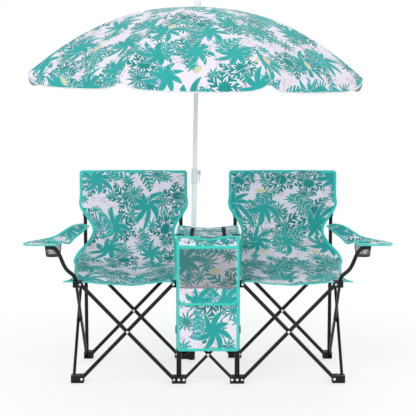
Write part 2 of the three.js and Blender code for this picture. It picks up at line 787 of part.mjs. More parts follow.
/** The bag: a front panel with a body behind it, open where the flap closes it. */
function coolBag() {
  const panel = hangingPanel(bagHalfWidth, bagTop - bagBottom, bagCorner, bagPanelThickness);
  const bodyFront = bagPanelY + bagPanelThickness / 2;
  const body = block([-bagBodyHalfWidth, bodyFront, bagBodyBottom], [bagBodyHalfWidth, bagBackY, bagTop]);
  const inside = bagBodyHalfWidth - bagWall;
  const cavity = block(
    [-inside, bagPanelY - overrun, flapBottom + bagWall],
    [inside, bagBackY - bagWall, bagTop - bagWall],
  );
  const well = block(
    [-inside, bagPanelY + bagPanelThickness, bagBodyBottom + bagWall],
    [inside, bagBackY - bagWall, flapBottom + 2 * bagWall],
  );
  return cut(join(solid(panel.translate(0, bagPanelY, bagTop)), body), cavity, well);
}

add('cool_bag', coolBag(), printedCloth);
const flapTop = bagTop - flapHingeDrop;
const flap = hangingPanel(flapHalfWidth, flapTop - flapBottom, flapCorner, flapThickness);
add('cool_bag_flap', flap, printedCloth, { at: [0, bagFrontY, flapTop] });

// Parasol, in a frame of its own up the pole

const parasol = new THREE.Group();
parasol.position.set(poleFootX, 0, socketFloor + restGap);
parasol.rotation.y = poleLean;
group.add(parasol);

const leverPinZ = lowerPoleLength - leverPinDrop;

/** The lower pole with its collar, whose two ears hold the lever's pin. */
function lowerPole() {
  const inside = poleRadius - poleWall;
  const tube = pipe(poleRadius, inside, 0, lowerPoleLength, poleSides);
  const collar = pipe(collarRadius, inside, lowerPoleLength - collarHeight, lowerPoleLength, poleSides);
  const earStart = leverThickness / 2 + slotGap;
  const ear = (y) =>
    block(
      [collarRadius - earDepth, y, leverPinZ - earHeight / 2],
      [earReach, y + Math.sign(y) * earDepth, leverPinZ + earHeight / 2],
    );
  const bore = bar(inside, 'z', 0, lowerPoleLength + overrun, poleSides);
  const pinReach = earStart + earDepth;
  const pin = bar(leverPinRadius, 'y', -pinReach, pinReach, rivetSides, [leverPinX, 0, leverPinZ]);
  return join(cut(join(tube, collar, ear(earStart), ear(-earStart)), bore), pin);
}

/** The cam lever, drawn round its pin, hanging down beside the collar. */
function clampLever() {
  const hub = bar(leverHub, 'y', -leverThickness / 2, leverThickness / 2, poleSides);
  const arm = new THREE.Shape();
  arm.moveTo(-leverHub * half, 0);
  arm.lineTo(leverHub, 0);
  arm.quadraticCurveTo(leverHub + leverThickness * half, -leverLength * half, leverHub * half, -leverLength);
  arm.lineTo(-leverHub * half, -leverLength + leverHub);
  arm.quadraticCurveTo(leverHub * half, -leverLength * half, -leverHub * half, 0);
  const plate = extruded(arm, leverThickness).rotateX(quarterTurn).translate(0, leverThickness / 2, 0);
  const hole = bar(leverHoleRadius, 'y', -leverThickness, leverThickness, rivetSides);
  return cut(join(hub, solid(plate)), hole);
}

const crownTop = domeHeight - canopyThickness / 2 - crownClear;
const ribPinZ = crownTop - ribPinDrop;

/** The upper pole with the crown that holds the ribs and, over the canopy, the finial. */
function upperPole() {
  const inside = upperPoleRadius - upperPoleWall;
  const tube = pipe(upperPoleRadius, inside, upperPoleStart, crownTop - crownDepth / 2, poleSides);
  const capBottom = domeHeight + canopyThickness / 2 + restGap;
  const capTop = capBottom + finialDepth;
  const head = turned(
    [
      [0, crownTop - crownDepth],
      [crownRadius, crownTop - crownDepth],
      [crownRadius, crownTop],
      [neckRadius, crownTop],
      [neckRadius, capBottom],
      [finialRadius, capBottom],
      [finialRadius * finialWaistShare, capTop],
      [nubRadius, capTop + nubHeight * nubWaistShare],
      [nubRadius, capTop + nubHeight - nubRadius * half],
      [nubRadius * half, capTop + nubHeight],
      [0, capTop + nubHeight],
    ],
    poleSides,
  );
  const slotWidth = eyeThickness + 2 * crownSlotGap;
  const slotStart = ribPinReach - eyeRadius - crownSlotGap;
  const slotTop = ribPinZ + eyeRadius + crownSlotGap;
  const slotLength = crownRadius + overrun - slotStart;
  const slotHeight = slotTop - crownTop + crownDepth + overrun;
  const cuts = [];
  const pins = [];
  for (let rib = 0; rib < ribCount; rib += 1) {
    const room = new THREE.BoxGeometry(slotLength, slotWidth, slotHeight);
    room.translate(slotStart + slotLength / 2, 0, slotTop - slotHeight / 2);
    cuts.push(solid(room.rotateZ(ribAngle(rib))));
    const pin = new THREE.CylinderGeometry(ribPinRadius, ribPinRadius, slotWidth + cheek, rivetSides);
    pins.push(solid(pin.translate(ribPinReach, 0, ribPinZ).rotateZ(ribAngle(rib))));
  }
  return join(cut(join(tube, head), ...cuts), ...pins);
}

/** A rib's turn about the pole. */
function ribAngle(rib) {
  return ((rib + half) / ribCount) * 2 * Math.PI;
}

/** The height of the canopy's middle surface over a rib. */
const domeAt = (radius) => domeHeight - domeDrop * (radius / domeRadius) ** domePower;

/** A rib, drawn out along X, with an eye round its pin. */
function rib() {
  const start = ribPinReach + eyeRadius * half;
  const below = ribBelowCanopy;
  const points = ribShares.map((share) => {
    const reach = THREE.MathUtils.lerp(start, domeRadius - ribTipGap, share);
    return new THREE.Vector3(reach, 0, share === 0 ? ribPinZ : domeAt(reach) - below);
  });
  const wire = solid(swept(roundSection(ribRadius, ribSides), points, ribSteps));
  const eye = bar(eyeRadius, 'y', -eyeThickness / 2, eyeThickness / 2, rivetSides, [ribPinReach, 0, ribPinZ]);
  const hole = bar(ribHoleRadius, 'y', -eyeThickness, eyeThickness, rivetSides, [ribPinReach, 0, ribPinZ]);
  return cut(join(wire, eye), hole);
}

/** The canopy: eight flat-cut panels drawn over the ribs, with a short valance. */
function canopyPoint(u, v) {
  const panel = u * ribCount - half;
  const first = Math.floor(panel);
  const onDome = Math.min((v * (canopyRows + 1)) / canopyRows, 1);
  const dropped = Math.max(v * (canopyRows + 1) - canopyRows, 0);
  const reach = THREE.MathUtils.lerp(domeHole, domeRadius, onDome);
  const corner = (index) => {
    const angle = ribAngle(index);
    return new THREE.Vector3(reach * Math.cos(angle), reach * Math.sin(angle), 0);
  };
  const place = corner(first).lerp(corner(first + 1), panel - first);
  place.z = domeAt(reach) - valanceDepth * dropped;
  return place;
}

/** The runner that slides on the pole, with the stretchers that reach up to the ribs. */
function runner() {
  const hub = pipe(runnerRadius, upperPoleRadius + slideGap, runnerTop - runnerHeight, runnerTop, poleSides);
  const top = domeAt(stretcherReach) - ribBelowCanopy - ribRadius - stretcherRadius - stretcherClear;
  const start = new THREE.Vector3(runnerRadius - stretcherRadius, 0, runnerTop - runnerHeight / 2);
  const end = new THREE.Vector3(stretcherReach, 0, top);
  const arms = Array.from({ length: ribCount }, (_, index) => {
    const wire = new THREE.ExtrudeGeometry(roundSection(stretcherRadius, ribSides), {
      extrudePath: new THREE.LineCurve3(start, end),
      steps: 1,
      bevelEnabled: false,
    });
    return solid(wire.rotateZ(ribAngle(index)));
  });
  return join(hub, ...arms);
}

add('lower_pole', lowerPole(), poleWhite, { parent: parasol });
add('clamp_lever', clampLever(), plasticWhite, { parent: parasol, at: [leverPinX, 0, leverPinZ] });
add('upper_pole', upperPole(), poleWhite, { parent: parasol });
add('runner_and_stretchers', runner(), ribSteel, { parent: parasol });
for (let index = 0; index < ribCount; index += 1) {
  add(`rib_${index + 1}`, rib(), ribSteel, { parent: parasol, turn: [0, 0, ribAngle(index)] });
}
const canopyColumns = ribCount * panelColumns;
const canopy = sheet(canopyPoint, canopyColumns, canopyRows + 1, canopyThickness, true);
add('canopy', canopy, printedCloth, { parent: parasol });

export default group;
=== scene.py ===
"""Dresses the folding umbrella chair: its cloth, bindings, tubes, mouldings and parasol.

The scene is in metres, +X to the right as seen from the front, +Y to the rear, +Z up. Sizes of parts are
in millimetres until they become points. Each piece is built in place, so its object stays at the origin,
and rides on the body that carries it.
"""

import sys

import json
import logging
import math
from collections.abc import Callable, Iterable, Sequence
from dataclasses import dataclass, field
from enum import Enum
from functools import partial

import bmesh
import bpy
from mathutils import Matrix, Vector, noise

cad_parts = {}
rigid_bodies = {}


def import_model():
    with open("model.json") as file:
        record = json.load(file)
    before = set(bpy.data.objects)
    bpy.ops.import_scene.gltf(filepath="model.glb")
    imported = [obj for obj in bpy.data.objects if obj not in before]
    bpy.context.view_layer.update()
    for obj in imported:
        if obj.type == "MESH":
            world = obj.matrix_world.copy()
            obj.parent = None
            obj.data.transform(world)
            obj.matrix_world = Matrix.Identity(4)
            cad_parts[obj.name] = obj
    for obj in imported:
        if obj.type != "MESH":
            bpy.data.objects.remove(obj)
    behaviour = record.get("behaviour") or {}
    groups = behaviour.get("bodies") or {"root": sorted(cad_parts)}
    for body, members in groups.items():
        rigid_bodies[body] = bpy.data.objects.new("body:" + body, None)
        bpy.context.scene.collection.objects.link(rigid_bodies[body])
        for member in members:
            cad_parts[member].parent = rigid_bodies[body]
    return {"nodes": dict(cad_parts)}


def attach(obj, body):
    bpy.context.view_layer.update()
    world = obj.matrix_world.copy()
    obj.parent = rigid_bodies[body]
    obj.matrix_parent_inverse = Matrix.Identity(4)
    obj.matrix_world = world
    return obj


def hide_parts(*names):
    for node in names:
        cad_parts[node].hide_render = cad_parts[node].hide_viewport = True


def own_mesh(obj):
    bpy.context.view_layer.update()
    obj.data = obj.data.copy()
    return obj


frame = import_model()

LOG = logging.getLogger("umbrella_chair")
MM = 0.001
TAU = 2 * math.pi
PLACE = "place"  # a piece's own cloth coordinates, in metres

Tree = bpy.types.NodeTree
Socket = bpy.types.NodeSocket
Material = bpy.types.Material
Color = tuple[float, float, float]
Point = Callable[[float, float], Vector]
Spots = list[tuple[Vector, Vector, Vector]]
Cells = Sequence[tuple[int, int]]
Outline = Sequence[tuple[float, float]]


# Formulas in a node tree


class Number:
    """One number in a node tree, so that a formula can be written with plain signs."""

    def __init__(self, tree: Tree, source: Socket) -> None:
        """Args: tree: the tree that the number is in. source: the socket that gives it."""
        self.tree = tree
        self.source = source

    def math(self, operation: str, *others: "Number | float") -> "Number":
        """Returns: the result of a Math node on this number and the others."""
        inputs = dict(enumerate((self, *others)))
        return Number(self.tree, added(self.tree, "ShaderNodeMath", inputs, operation=operation).outputs[0])

    def __add__(self, other: "Number | float") -> "Number":
        """This number plus another."""
        return self.math("ADD", other)

    def __sub__(self, other: "Number | float") -> "Number":
        """This number less another."""
        return self.math("SUBTRACT", other)

    def __mul__(self, other: "Number | float") -> "Number":
        """This number times another."""
        return self.math("MULTIPLY", other)

    def __truediv__(self, other: "Number | float") -> "Number":
        """This number divided by another."""
        return self.math("DIVIDE", other)

    def __pow__(self, other: "Number | float") -> "Number":
        """This number to a power."""
        return self.math("POWER", other)

    def over(self, edge: float) -> "Number":
        """Returns: 0 below zero and 1 above it, blended over a narrow edge."""
        return (self / edge + 0.5).share()

    def share(self) -> "Number":
        """Returns: the number held between 0 and 1."""
        return self.math("MAXIMUM", 0.0).math("MINIMUM", 1.0)


def connect(tree: Tree, value: object, socket: Socket) -> None:
    """Links a number or a socket to an input, or sets the input's own value.

    Args:
        tree: the tree that both are in.
        value: a Number, a socket or a plain value.
        socket: the input.
    """
    source = value.source if isinstance(value, Number) else value
    if isinstance(source, Socket):
        tree.links.new(source, socket)
    else:
        socket.default_value = (*source, 1.0) if socket.type == "RGBA" else source


def added(tree: Tree, kind: str, inputs: dict | None = None, **settings: object) -> bpy.types.Node:
    """Adds a node to a tree.

    Args:
        tree: the tree.
        kind: the node's type.
        inputs: what its inputs get, by name or index.
        settings: its own properties.

    Returns:
        The node.
    """
    node = tree.nodes.new(kind)
    for name, value in settings.items():
        setattr(node, name, value)
    for key, value in (inputs or {}).items():
        connect(tree, value, node.inputs[key])
    return node


def group_tree(name: str, kind: str, inputs: Sequence[tuple], outputs: Sequence[tuple]) -> tuple:
    """Makes a node group with named sockets.

    Args:
        name: the group's name.
        kind: the type of its tree.
        inputs: a name and a socket type each, and a default value where it has one.
        outputs: a name and a socket type each.

    Returns:
        The tree, its input node and its output node.
    """
    tree = bpy.data.node_groups.new(name, kind)
    for where, sockets in (("INPUT", inputs), ("OUTPUT", outputs)):
        for title, socket_type, *default in sockets:
            socket = tree.interface.new_socket(name=title, in_out=where, socket_type=socket_type)
            if default:
                socket.default_value = default[0]
    return tree, tree.nodes.new("NodeGroupInput"), tree.nodes.new("NodeGroupOutput")


def mixed(tree: Tree, share: object, first: object, second: object) -> Socket:
    """Returns: the socket of a mix of two colours, with so much of the second."""
    return added(tree, "ShaderNodeMix", {"Factor": share, 6: first, 7: second}, data_type="RGBA").outputs[2]


def noise_value(tree: Tree, place: Socket, scale: float, detail: float = 2.0) -> Number:
    """Returns: smooth noise from 0 to 1 at a place, with so many waves in a metre."""
    node = added(tree, "ShaderNodeTexNoise", {"Vector": place, "Scale": scale, "Detail": detail})
    return Number(tree, node.outputs["Fac"])


def seen_number(tree: Tree) -> Number:
    """Returns: 1 for what the camera sees, mirrored or through a clear surface too, and 0 for light."""
    ray = tree.nodes.new("ShaderNodeLightPath")
    kinds = ("Camera", "Glossy", "Transmission")
    camera, glossy, through = (Number(tree, ray.outputs[f"Is {kind} Ray"]) for kind in kinds)
    return camera.math("MAXIMUM", glossy).math("MAXIMUM", through)


# The leaf print


class Form(Enum):
    """How the leaves of a motif are drawn."""

    ROSETTE = "plain leaves from one point"
    CROWN = "feathered leaves from one point"
    FROND = "one feathered leaf"


class Tone(Enum):
    """What sets a motif's tone between its dark and its light."""

    BRUSHED = "uneven as if brushed, and a random number"
    OWN = "a random number"
    STREAKED = "fine streaks"


@dataclass(frozen=True)
class Motif:
    """A scattered motif and its leaves, in millimetres."""

    form: Form
    cell: float  # the size of the cell that holds one
    jitter: float  # how freely it is placed there
    shift: float  # where its cells start, in metres
    dark: Color
    light: Color
    reach: float  # the length of the longest leaf
    width: float  # half a leaf's width
    count: int = 1
    bend: float = 0.0  # how far a leaf curls over its length
    pitch: float = 1.0  # from slit to slit
    gap: float = 0.0  # the share of the pitch that is open
    core: float = 0.0  # half the width that has no slits
    kept: float = 1.0  # the share of the motifs that are there
    draws: tuple[int, int] = (0, 1)  # the random numbers that thin it out and that tone it
    tone: Tone = Tone.BRUSHED
    vein: float = 0.0  # how far inside a leaf its darker middle starts


@dataclass(frozen=True)
class LeafPrint:
    """A generic print of fronds, split leaves and rosettes in teals on a pale lilac ground."""

    ground: Color = (0.79, 0.755, 0.835)
    ink: Color = (0.33, 0.27, 0.35)
    deep: Color = (0.008, 0.215, 0.222)
    teal: Color = (0.016, 0.335, 0.327)
    bright: Color = (0.038, 0.45, 0.43)
    halo: float = 1.0 * MM
    edge: float = 0.5 * MM

    @property
    def motifs(self) -> tuple[Motif, ...]:
        """The motifs, from the lowest to the one on top."""
        deep, teal, bright = self.deep, self.teal, self.bright
        return (
            Motif(Form.ROSETTE, 104, 0.85, 3.1, teal, bright, 44, 4.4, 9, 0.4),
            Motif(Form.CROWN, 188, 0.7, 7.7, deep, teal, 100, 24, 7, 0.8, 21, 0.36, 3.6),
            Motif(Form.ROSETTE, 132, 0.75, 9.4, deep, bright, 60, 3.9, 12, kept=0.72, draws=(1, 0)),
            Motif(Form.ROSETTE, 185, 0.75, 1.9, teal, bright, 108, 12.5, 8, 0.7, vein=11.4),
            Motif(Form.FROND, 215, 0.85, 5.3, teal, bright, 132, 26, 1, 0.5, 22, 0.36, 3.6, 0.7),
            Motif(Form.ROSETTE, 92, 0.95, 4.2, (0.16, 0.42, 0.66), (0.5, 0.44, 0.62), 10, 3.2, 5, 0.6,
                  kept=0.5, tone=Tone.OWN),
            Motif(Form.FROND, 230, 0.9, 6.6, (0.5, 0.5, 0.16), (0.72, 0.7, 0.42), 50, 12, 1, 0.1, 6, 0.22,
                  kept=0.6, tone=Tone.STREAKED),
        )

    def scattered(self, tree: Tree, place: Socket, motif: Motif) -> tuple[Number, Number, list[Number]]:
        """Finds the nearest motif and turns the place into its own axes.

        Args:
            tree: the tree to add to.
            place: the cloth coordinates.
            motif: what is scattered.

        Returns:
            The x and y in the motif's axes, and two random numbers of its own.
        """
        shift = (motif.shift, motif.shift * 2, 0.0)
        moved = added(tree, "ShaderNodeVectorMath", {0: place, 1: shift}).outputs[0]
        values = {"Vector": moved, "Scale": 1 / (motif.cell * MM), "Randomness": motif.jitter}
        cells = added(tree, "ShaderNodeTexVoronoi", values, voronoi_dimensions="2D")
        ends = {0: moved, 1: cells.outputs["Position"]}
        away = added(tree, "ShaderNodeVectorMath", ends, operation="SUBTRACT")
        parts = added(tree, "ShaderNodeSeparateXYZ", {0: away.outputs[0]})
        chance = added(tree, "ShaderNodeSeparateColor", {0: cells.outputs["Color"]})
        x, y = (Number(tree, parts.outputs[axis]) for axis in (0, 1))
        turning, *draws = (Number(tree, socket) for socket in chance.outputs)
        turn = turning * TAU
        cosine, sine = turn.math("COSINE"), turn.math("SINE")
        return x * cosine - y * sine, x * sine + y * cosine, draws

    def leaf(self, motif: Motif, x: Number, y: Number, chance: Number) -> Number:
        """Draws a motif's leaves.

        Args:
            motif: the motif.
            x: across a frond, or one way from the middle of the others.
            y: along a frond, or the other way.
            chance: a random number of this one.

        Returns:
            How far inside a leaf the place lies.
        """
        reach, pitch = motif.reach * MM, motif.pitch * MM
        if motif.form is Form.FROND:
            share = (y / reach + 0.5).share()
            across = (x - y * y * (motif.bend / reach)).math("ABSOLUTE")
            run, lean, blunt = y, 0.8, 0.7
        else:
            shortest, blunt = (0.65, 0.6) if motif.form is Form.CROWN else (0.6, 0.8)
            run, lean = (x * x + y * y) ** 0.5, 1.2
            turn = (y.math("ARCTAN2", x) + run * (motif.bend / reach)) * (motif.count / TAU)
            own = ((turn.math("FLOOR") * 12.9898 + chance * 78.233).math("SINE") * 437.585).math("FRACT")
            share = (run / ((own * (1 - shortest) + shortest) * reach)).share()
            across = run * ((turn.math("FRACT") - 0.5).math("ABSOLUTE") * (TAU / motif.count)).math("SINE")
        outline = (share * math.pi).math("SINE") ** blunt * (motif.width * MM) - across
        if motif.form is Form.ROSETTE:
            return outline - (share - 0.98).math("MAXIMUM", 0.0)
        step = ((run - across * lean) / pitch).math("FRACT") - 0.5
        leaflet = (step.math("ABSOLUTE") * -1.0 + (1 - motif.gap) / 2) * pitch
        return outline.math("MINIMUM", leaflet.math("MAXIMUM", across * -1.0 + motif.core * MM))

    def build(self) -> Tree:
        """Returns: the shader group, from cloth coordinates to the print's colour."""
        tree, entry, end = group_tree(
            "leaf_print", "ShaderNodeTree", [("Place", "NodeSocketVector")], [("Color", "NodeSocketColor")]
        )
        place = entry.outputs["Place"]
        streak = noise_value(tree, place, 240.0, 2.0)
        shade = (noise_value(tree, place, 34.0, 4.0) * 0.8 + streak * 0.2 - 0.4) * 3.0
        line = (noise_value(tree, place, 55.0, 6.0) - 0.5).math("ABSOLUTE") * -1.0 + 0.022
        patch = noise_value(tree, place, 11.0, 1.0) - 0.56
        color = mixed(tree, line.over(0.015) * patch.over(0.05) * 0.65, self.ground, self.ink)
        for motif in self.motifs:
            x, y, draws = self.scattered(tree, place, motif)
            thinning, toning = (draws[index] for index in motif.draws)
            inside = self.leaf(motif, x, y, draws[0])
            if motif.kept < 1:
                inside = inside - (thinning - motif.kept).math("MAXIMUM", 0.0)
            share = streak if motif.tone is Tone.STREAKED else toning
            if motif.tone is Tone.BRUSHED:
                share = (shade * 0.4 + toning * 0.5).share()
            tone = mixed(tree, share, motif.dark, motif.light)
            cleared = mixed(tree, (inside + self.halo).over(self.edge), color, self.ground)
            color = mixed(tree, inside.over(self.edge), cleared, tone)
            if motif.vein:
                color = mixed(tree, (inside - motif.vein * MM).over(self.edge) * 0.6, color, self.deep)
        connect(tree, color, end.inputs["Color"])
        return tree


def weave_group() -> Tree:
    """Returns: the shader group of a plain weave, with its height and its small change of tone."""
    tree, entry, end = group_tree(
        "weave",
        "ShaderNodeTree",
        [("Place", "NodeSocketVector"), ("Pitch", "NodeSocketFloat", 1.2 * MM)],
        [("Height", "NodeSocketFloat"), ("Tone", "NodeSocketFloat")],
    )
    parts = added(tree, "ShaderNodeSeparateXYZ", {0: entry.outputs["Place"]})
    pitch = Number(tree, entry.outputs["Pitch"])
    warp, weft = ((Number(tree, parts.outputs[axis]) / pitch * TAU).math("SINE") for axis in (0, 1))
    slub = noise_value(tree, entry.outputs["Place"], 420.0, 1.0)
    connect(tree, warp * weft * 0.35 + slub * 0.5, end.inputs["Height"])
    connect(tree, slub * 0.16 + 0.92, end.inputs["Tone"])
    return tree


def handling_group() -> Tree:
    """Returns: the shader group of fine grain and of marks from handling, for hard surfaces."""
    tree, entry, end = group_tree(
        "handling",
        "ShaderNodeTree",
        [("Place", "NodeSocketVector"), ("Amount", "NodeSocketFloat", 0.3)],
        [("Marks", "NodeSocketFloat"), ("Gloss", "NodeSocketFloat"), ("Grain", "NodeSocketFloat")],
    )
    place, amount = entry.outputs["Place"], Number(tree, entry.outputs["Amount"])
    scuffs = (noise_value(tree, place, 160.0, 5.0) - 0.62) * 5.0
    connect(tree, scuffs.share() * amount, end.inputs["Marks"])
    connect(tree, (noise_value(tree, place, 14.0, 3.0) - 0.5) * amount, end.inputs["Gloss"])
    connect(tree, noise_value(tree, place, 900.0, 2.0), end.inputs["Grain"])
    return tree


# Finishes


class Coordinates(Enum):
    """Where a finish takes its place from."""

    CLOTH = "the piece's flat cloth"
    OBJECT = "the object's space"


class Paint:
    """A material under construction, with the place that its pattern follows."""

    def __init__(self, name: str, source: Coordinates, **sockets: float) -> None:
        """Starts a material.

        Args:
            name: the material's name.
            source: where its place comes from.
            sockets: values for the shader's own sockets, with _ for a space.
        """
        self.material = bpy.data.materials.new(name)
        self.material.use_nodes = True
        self.tree = self.material.node_tree
        self.shader = self.tree.nodes["Principled BSDF"]
        for title, value in sockets.items():
            self.shader.inputs[title.replace("_", " ")].default_value = value
        if source is Coordinates.CLOTH:
            self.place = added(self.tree, "ShaderNodeAttribute", attribute_name=PLACE).outputs["Vector"]
        else:
            self.place = added(self.tree, "ShaderNodeTexCoord").outputs["Object"]

    def laid(self, group: Tree, **values: float) -> bpy.types.Node:
        """Returns: a group's node, fed with the place and its own values."""
        return added(self.tree, "ShaderNodeGroup", {"Place": self.place, **values}, node_tree=group)

    def done(self, color: Socket, height: Socket, depth: float) -> Material:
        """Ends the material.

        Args:
            color: its colour.
            height: the height of its relief.
            depth: how deep the relief is, in millimetres.

        Returns:
            The material.
        """
        bump = added(self.tree, "ShaderNodeBump", {"Distance": depth * MM, "Height": height})
        connect(self.tree, color, self.shader.inputs["Base Color"])
        connect(self.tree, bump.outputs["Normal"], self.shader.inputs["Normal"])
        return self.material


@dataclass(frozen=True)
class Groups:
    """The shader groups that the finishes share."""

    leaves: Tree = field(default_factory=lambda: LeafPrint().build())
    weave: Tree = field(default_factory=weave_group)
    handling: Tree = field(default_factory=handling_group)


@dataclass(frozen=True)
class Printed:
    """Printed polyester, woven fine, or its coated back, through which the print shows pale."""

    name: str
    roughness: float
    sheen: float
    shine: float
    pitch: float
    depth: float
    veil: Color
    veil_rise: float  # how the veil's share follows the weave's tone
    veil_start: float

    def build(self, groups: Groups) -> Material:
        """Returns: the material."""
        paint = Paint(self.name, Coordinates.CLOTH, Roughness=self.roughness, Sheen_Weight=self.sheen,
                      Sheen_Roughness=0.5, Specular_IOR_Level=self.shine)
        leaves = paint.laid(groups.leaves)
        weave = paint.laid(groups.weave, Pitch=self.pitch * MM)
        share = Number(paint.tree, weave.outputs["Tone"]) * self.veil_rise + self.veil_start
        color = mixed(paint.tree, share, leaves.outputs["Color"], self.veil)
        return paint.done(color, weave.outputs["Height"], self.depth)


@dataclass(frozen=True)
class Woven:
    """A woven tape, webbing or plain cloth, ribbed across."""

    name: str
    color: Color
    # the darker colour: painted shade in the low places of the weave, together with a random unevenness of tone
    deeper: Color
    pitch: float = 1.6
    roughness: float = 0.55
    sheen: float = 0.2
    shine: float = 0.3

    def build(self, groups: Groups) -> Material:
        """Returns: the material."""
        paint = Paint(self.name, Coordinates.CLOTH, Roughness=self.roughness, Sheen_Weight=self.sheen,
                      Sheen_Roughness=0.4, Specular_IOR_Level=self.shine)
        weave = paint.laid(groups.weave, Pitch=self.pitch * MM)
        uneven = noise_value(paint.tree, paint.place, 60.0, 2.0)
        # Darker where the weave lies low: painted shade in the weave's dips, mixed with a random unevenness of
        # tone
        share = (uneven * 0.6 + Number(paint.tree, weave.outputs["Height"]) * 0.5).share()
        return paint.done(mixed(paint.tree, share, self.deeper, self.color), weave.outputs["Height"], 0.4)


@dataclass(frozen=True)
class Hard:
    """A coated metal, a moulded plastic or a net, with fine grain and marks from handling."""

    name: str
    color: Color
    marks: Color
    roughness: float
    amount: float = 0.3
    grain: float = 0.03
    shine: float = 0.5
    metallic: float = 0.0
    coat: float = 0.0

    def build(self, groups: Groups) -> Material:
        """Returns: the material."""
        paint = Paint(self.name, Coordinates.OBJECT, Specular_IOR_Level=self.shine, Metallic=self.metallic,
                      Coat_Weight=self.coat)
        handled = paint.laid(groups.handling, Amount=self.amount)
        gloss = Number(paint.tree, handled.outputs["Gloss"]) * 0.35 + self.roughness
        connect(paint.tree, gloss.share(), paint.shader.inputs["Roughness"])
        color = mixed(paint.tree, handled.outputs["Marks"], self.color, self.marks)
        return paint.done(color, handled.outputs["Grain"], self.grain)


class Finishes:
    """The chair's finishes, each built once."""

    def __init__(self) -> None:
        """Builds them all."""
        groups = Groups()
        cloth = Printed("printed_polyester", 0.72, 0.05, 0.22, 1.1, 0.25, (0.0, 0.12, 0.13), -1.0, 1.0)
        backing = Printed("coated_backing", 0.6, 0.0, 0.35, 1.3, 0.2, (0.5, 0.58, 0.6), 0.55, 0.0)
        webbing = Woven("black_webbing", (0.013, 0.0135, 0.015), (0.006, 0.006, 0.007), 2.2, 0.85, 0.0, 0.08)
        plain = Woven("plain_teal_cloth", (0.05, 0.36, 0.34), (0.03, 0.27, 0.26), 1.2, 0.8)
        tube = Hard("black_powder_coat", (0.006, 0.0062, 0.007), (0.03, 0.03, 0.033), 0.3, shine=0.22)
        moulding = Hard("black_nylon", (0.008, 0.0083, 0.009), (0.035, 0.035, 0.038), 0.5, 0.4, 0.08, 0.2)
        steel = Hard("bright_zinc", (0.78, 0.79, 0.8), (0.5, 0.51, 0.53), 0.28, 0.4, metallic=1.0)
        pole = Hard("pole_white", (0.94, 0.95, 0.985), (0.76, 0.78, 0.82), 0.3, 0.2, coat=0.3)
        self.cloth = cloth.build(groups)
        self.backing = backing.build(groups)
        self.binding = Woven("turquoise_binding", (0.062, 0.71, 0.63), (0.03, 0.55, 0.5)).build(groups)
        self.hem = Woven("pale_hem", (0.8, 0.82, 0.85), (0.66, 0.7, 0.74)).build(groups)
        self.grey_hem = Woven("grey_hem", (0.3, 0.31, 0.33), (0.2, 0.21, 0.22)).build(groups)
        self.webbing = webbing.build(groups)
        self.plain_cloth = plain.build(groups)
        self.net = Hard("grey_net", (0.13, 0.135, 0.145), (0.2, 0.2, 0.21), 0.7).build(groups)
        self.dark_net = Hard("dark_net", (0.085, 0.088, 0.095), (0.15, 0.15, 0.16), 0.7).build(groups)
        self.tube = tube.build(groups)
        self.moulding = moulding.build(groups)
        self.steel = steel.build(groups)
        self.pole = pole.build(groups)
        self.white_plastic = Hard("white_plastic", (0.82, 0.84, 0.87), (0.6, 0.62, 0.66), 0.4).build(groups)
        self.grey_plastic = Hard("grey_caps", (0.4, 0.42, 0.45), (0.25, 0.26, 0.28), 0.45).build(groups)


# Repeats of small pieces


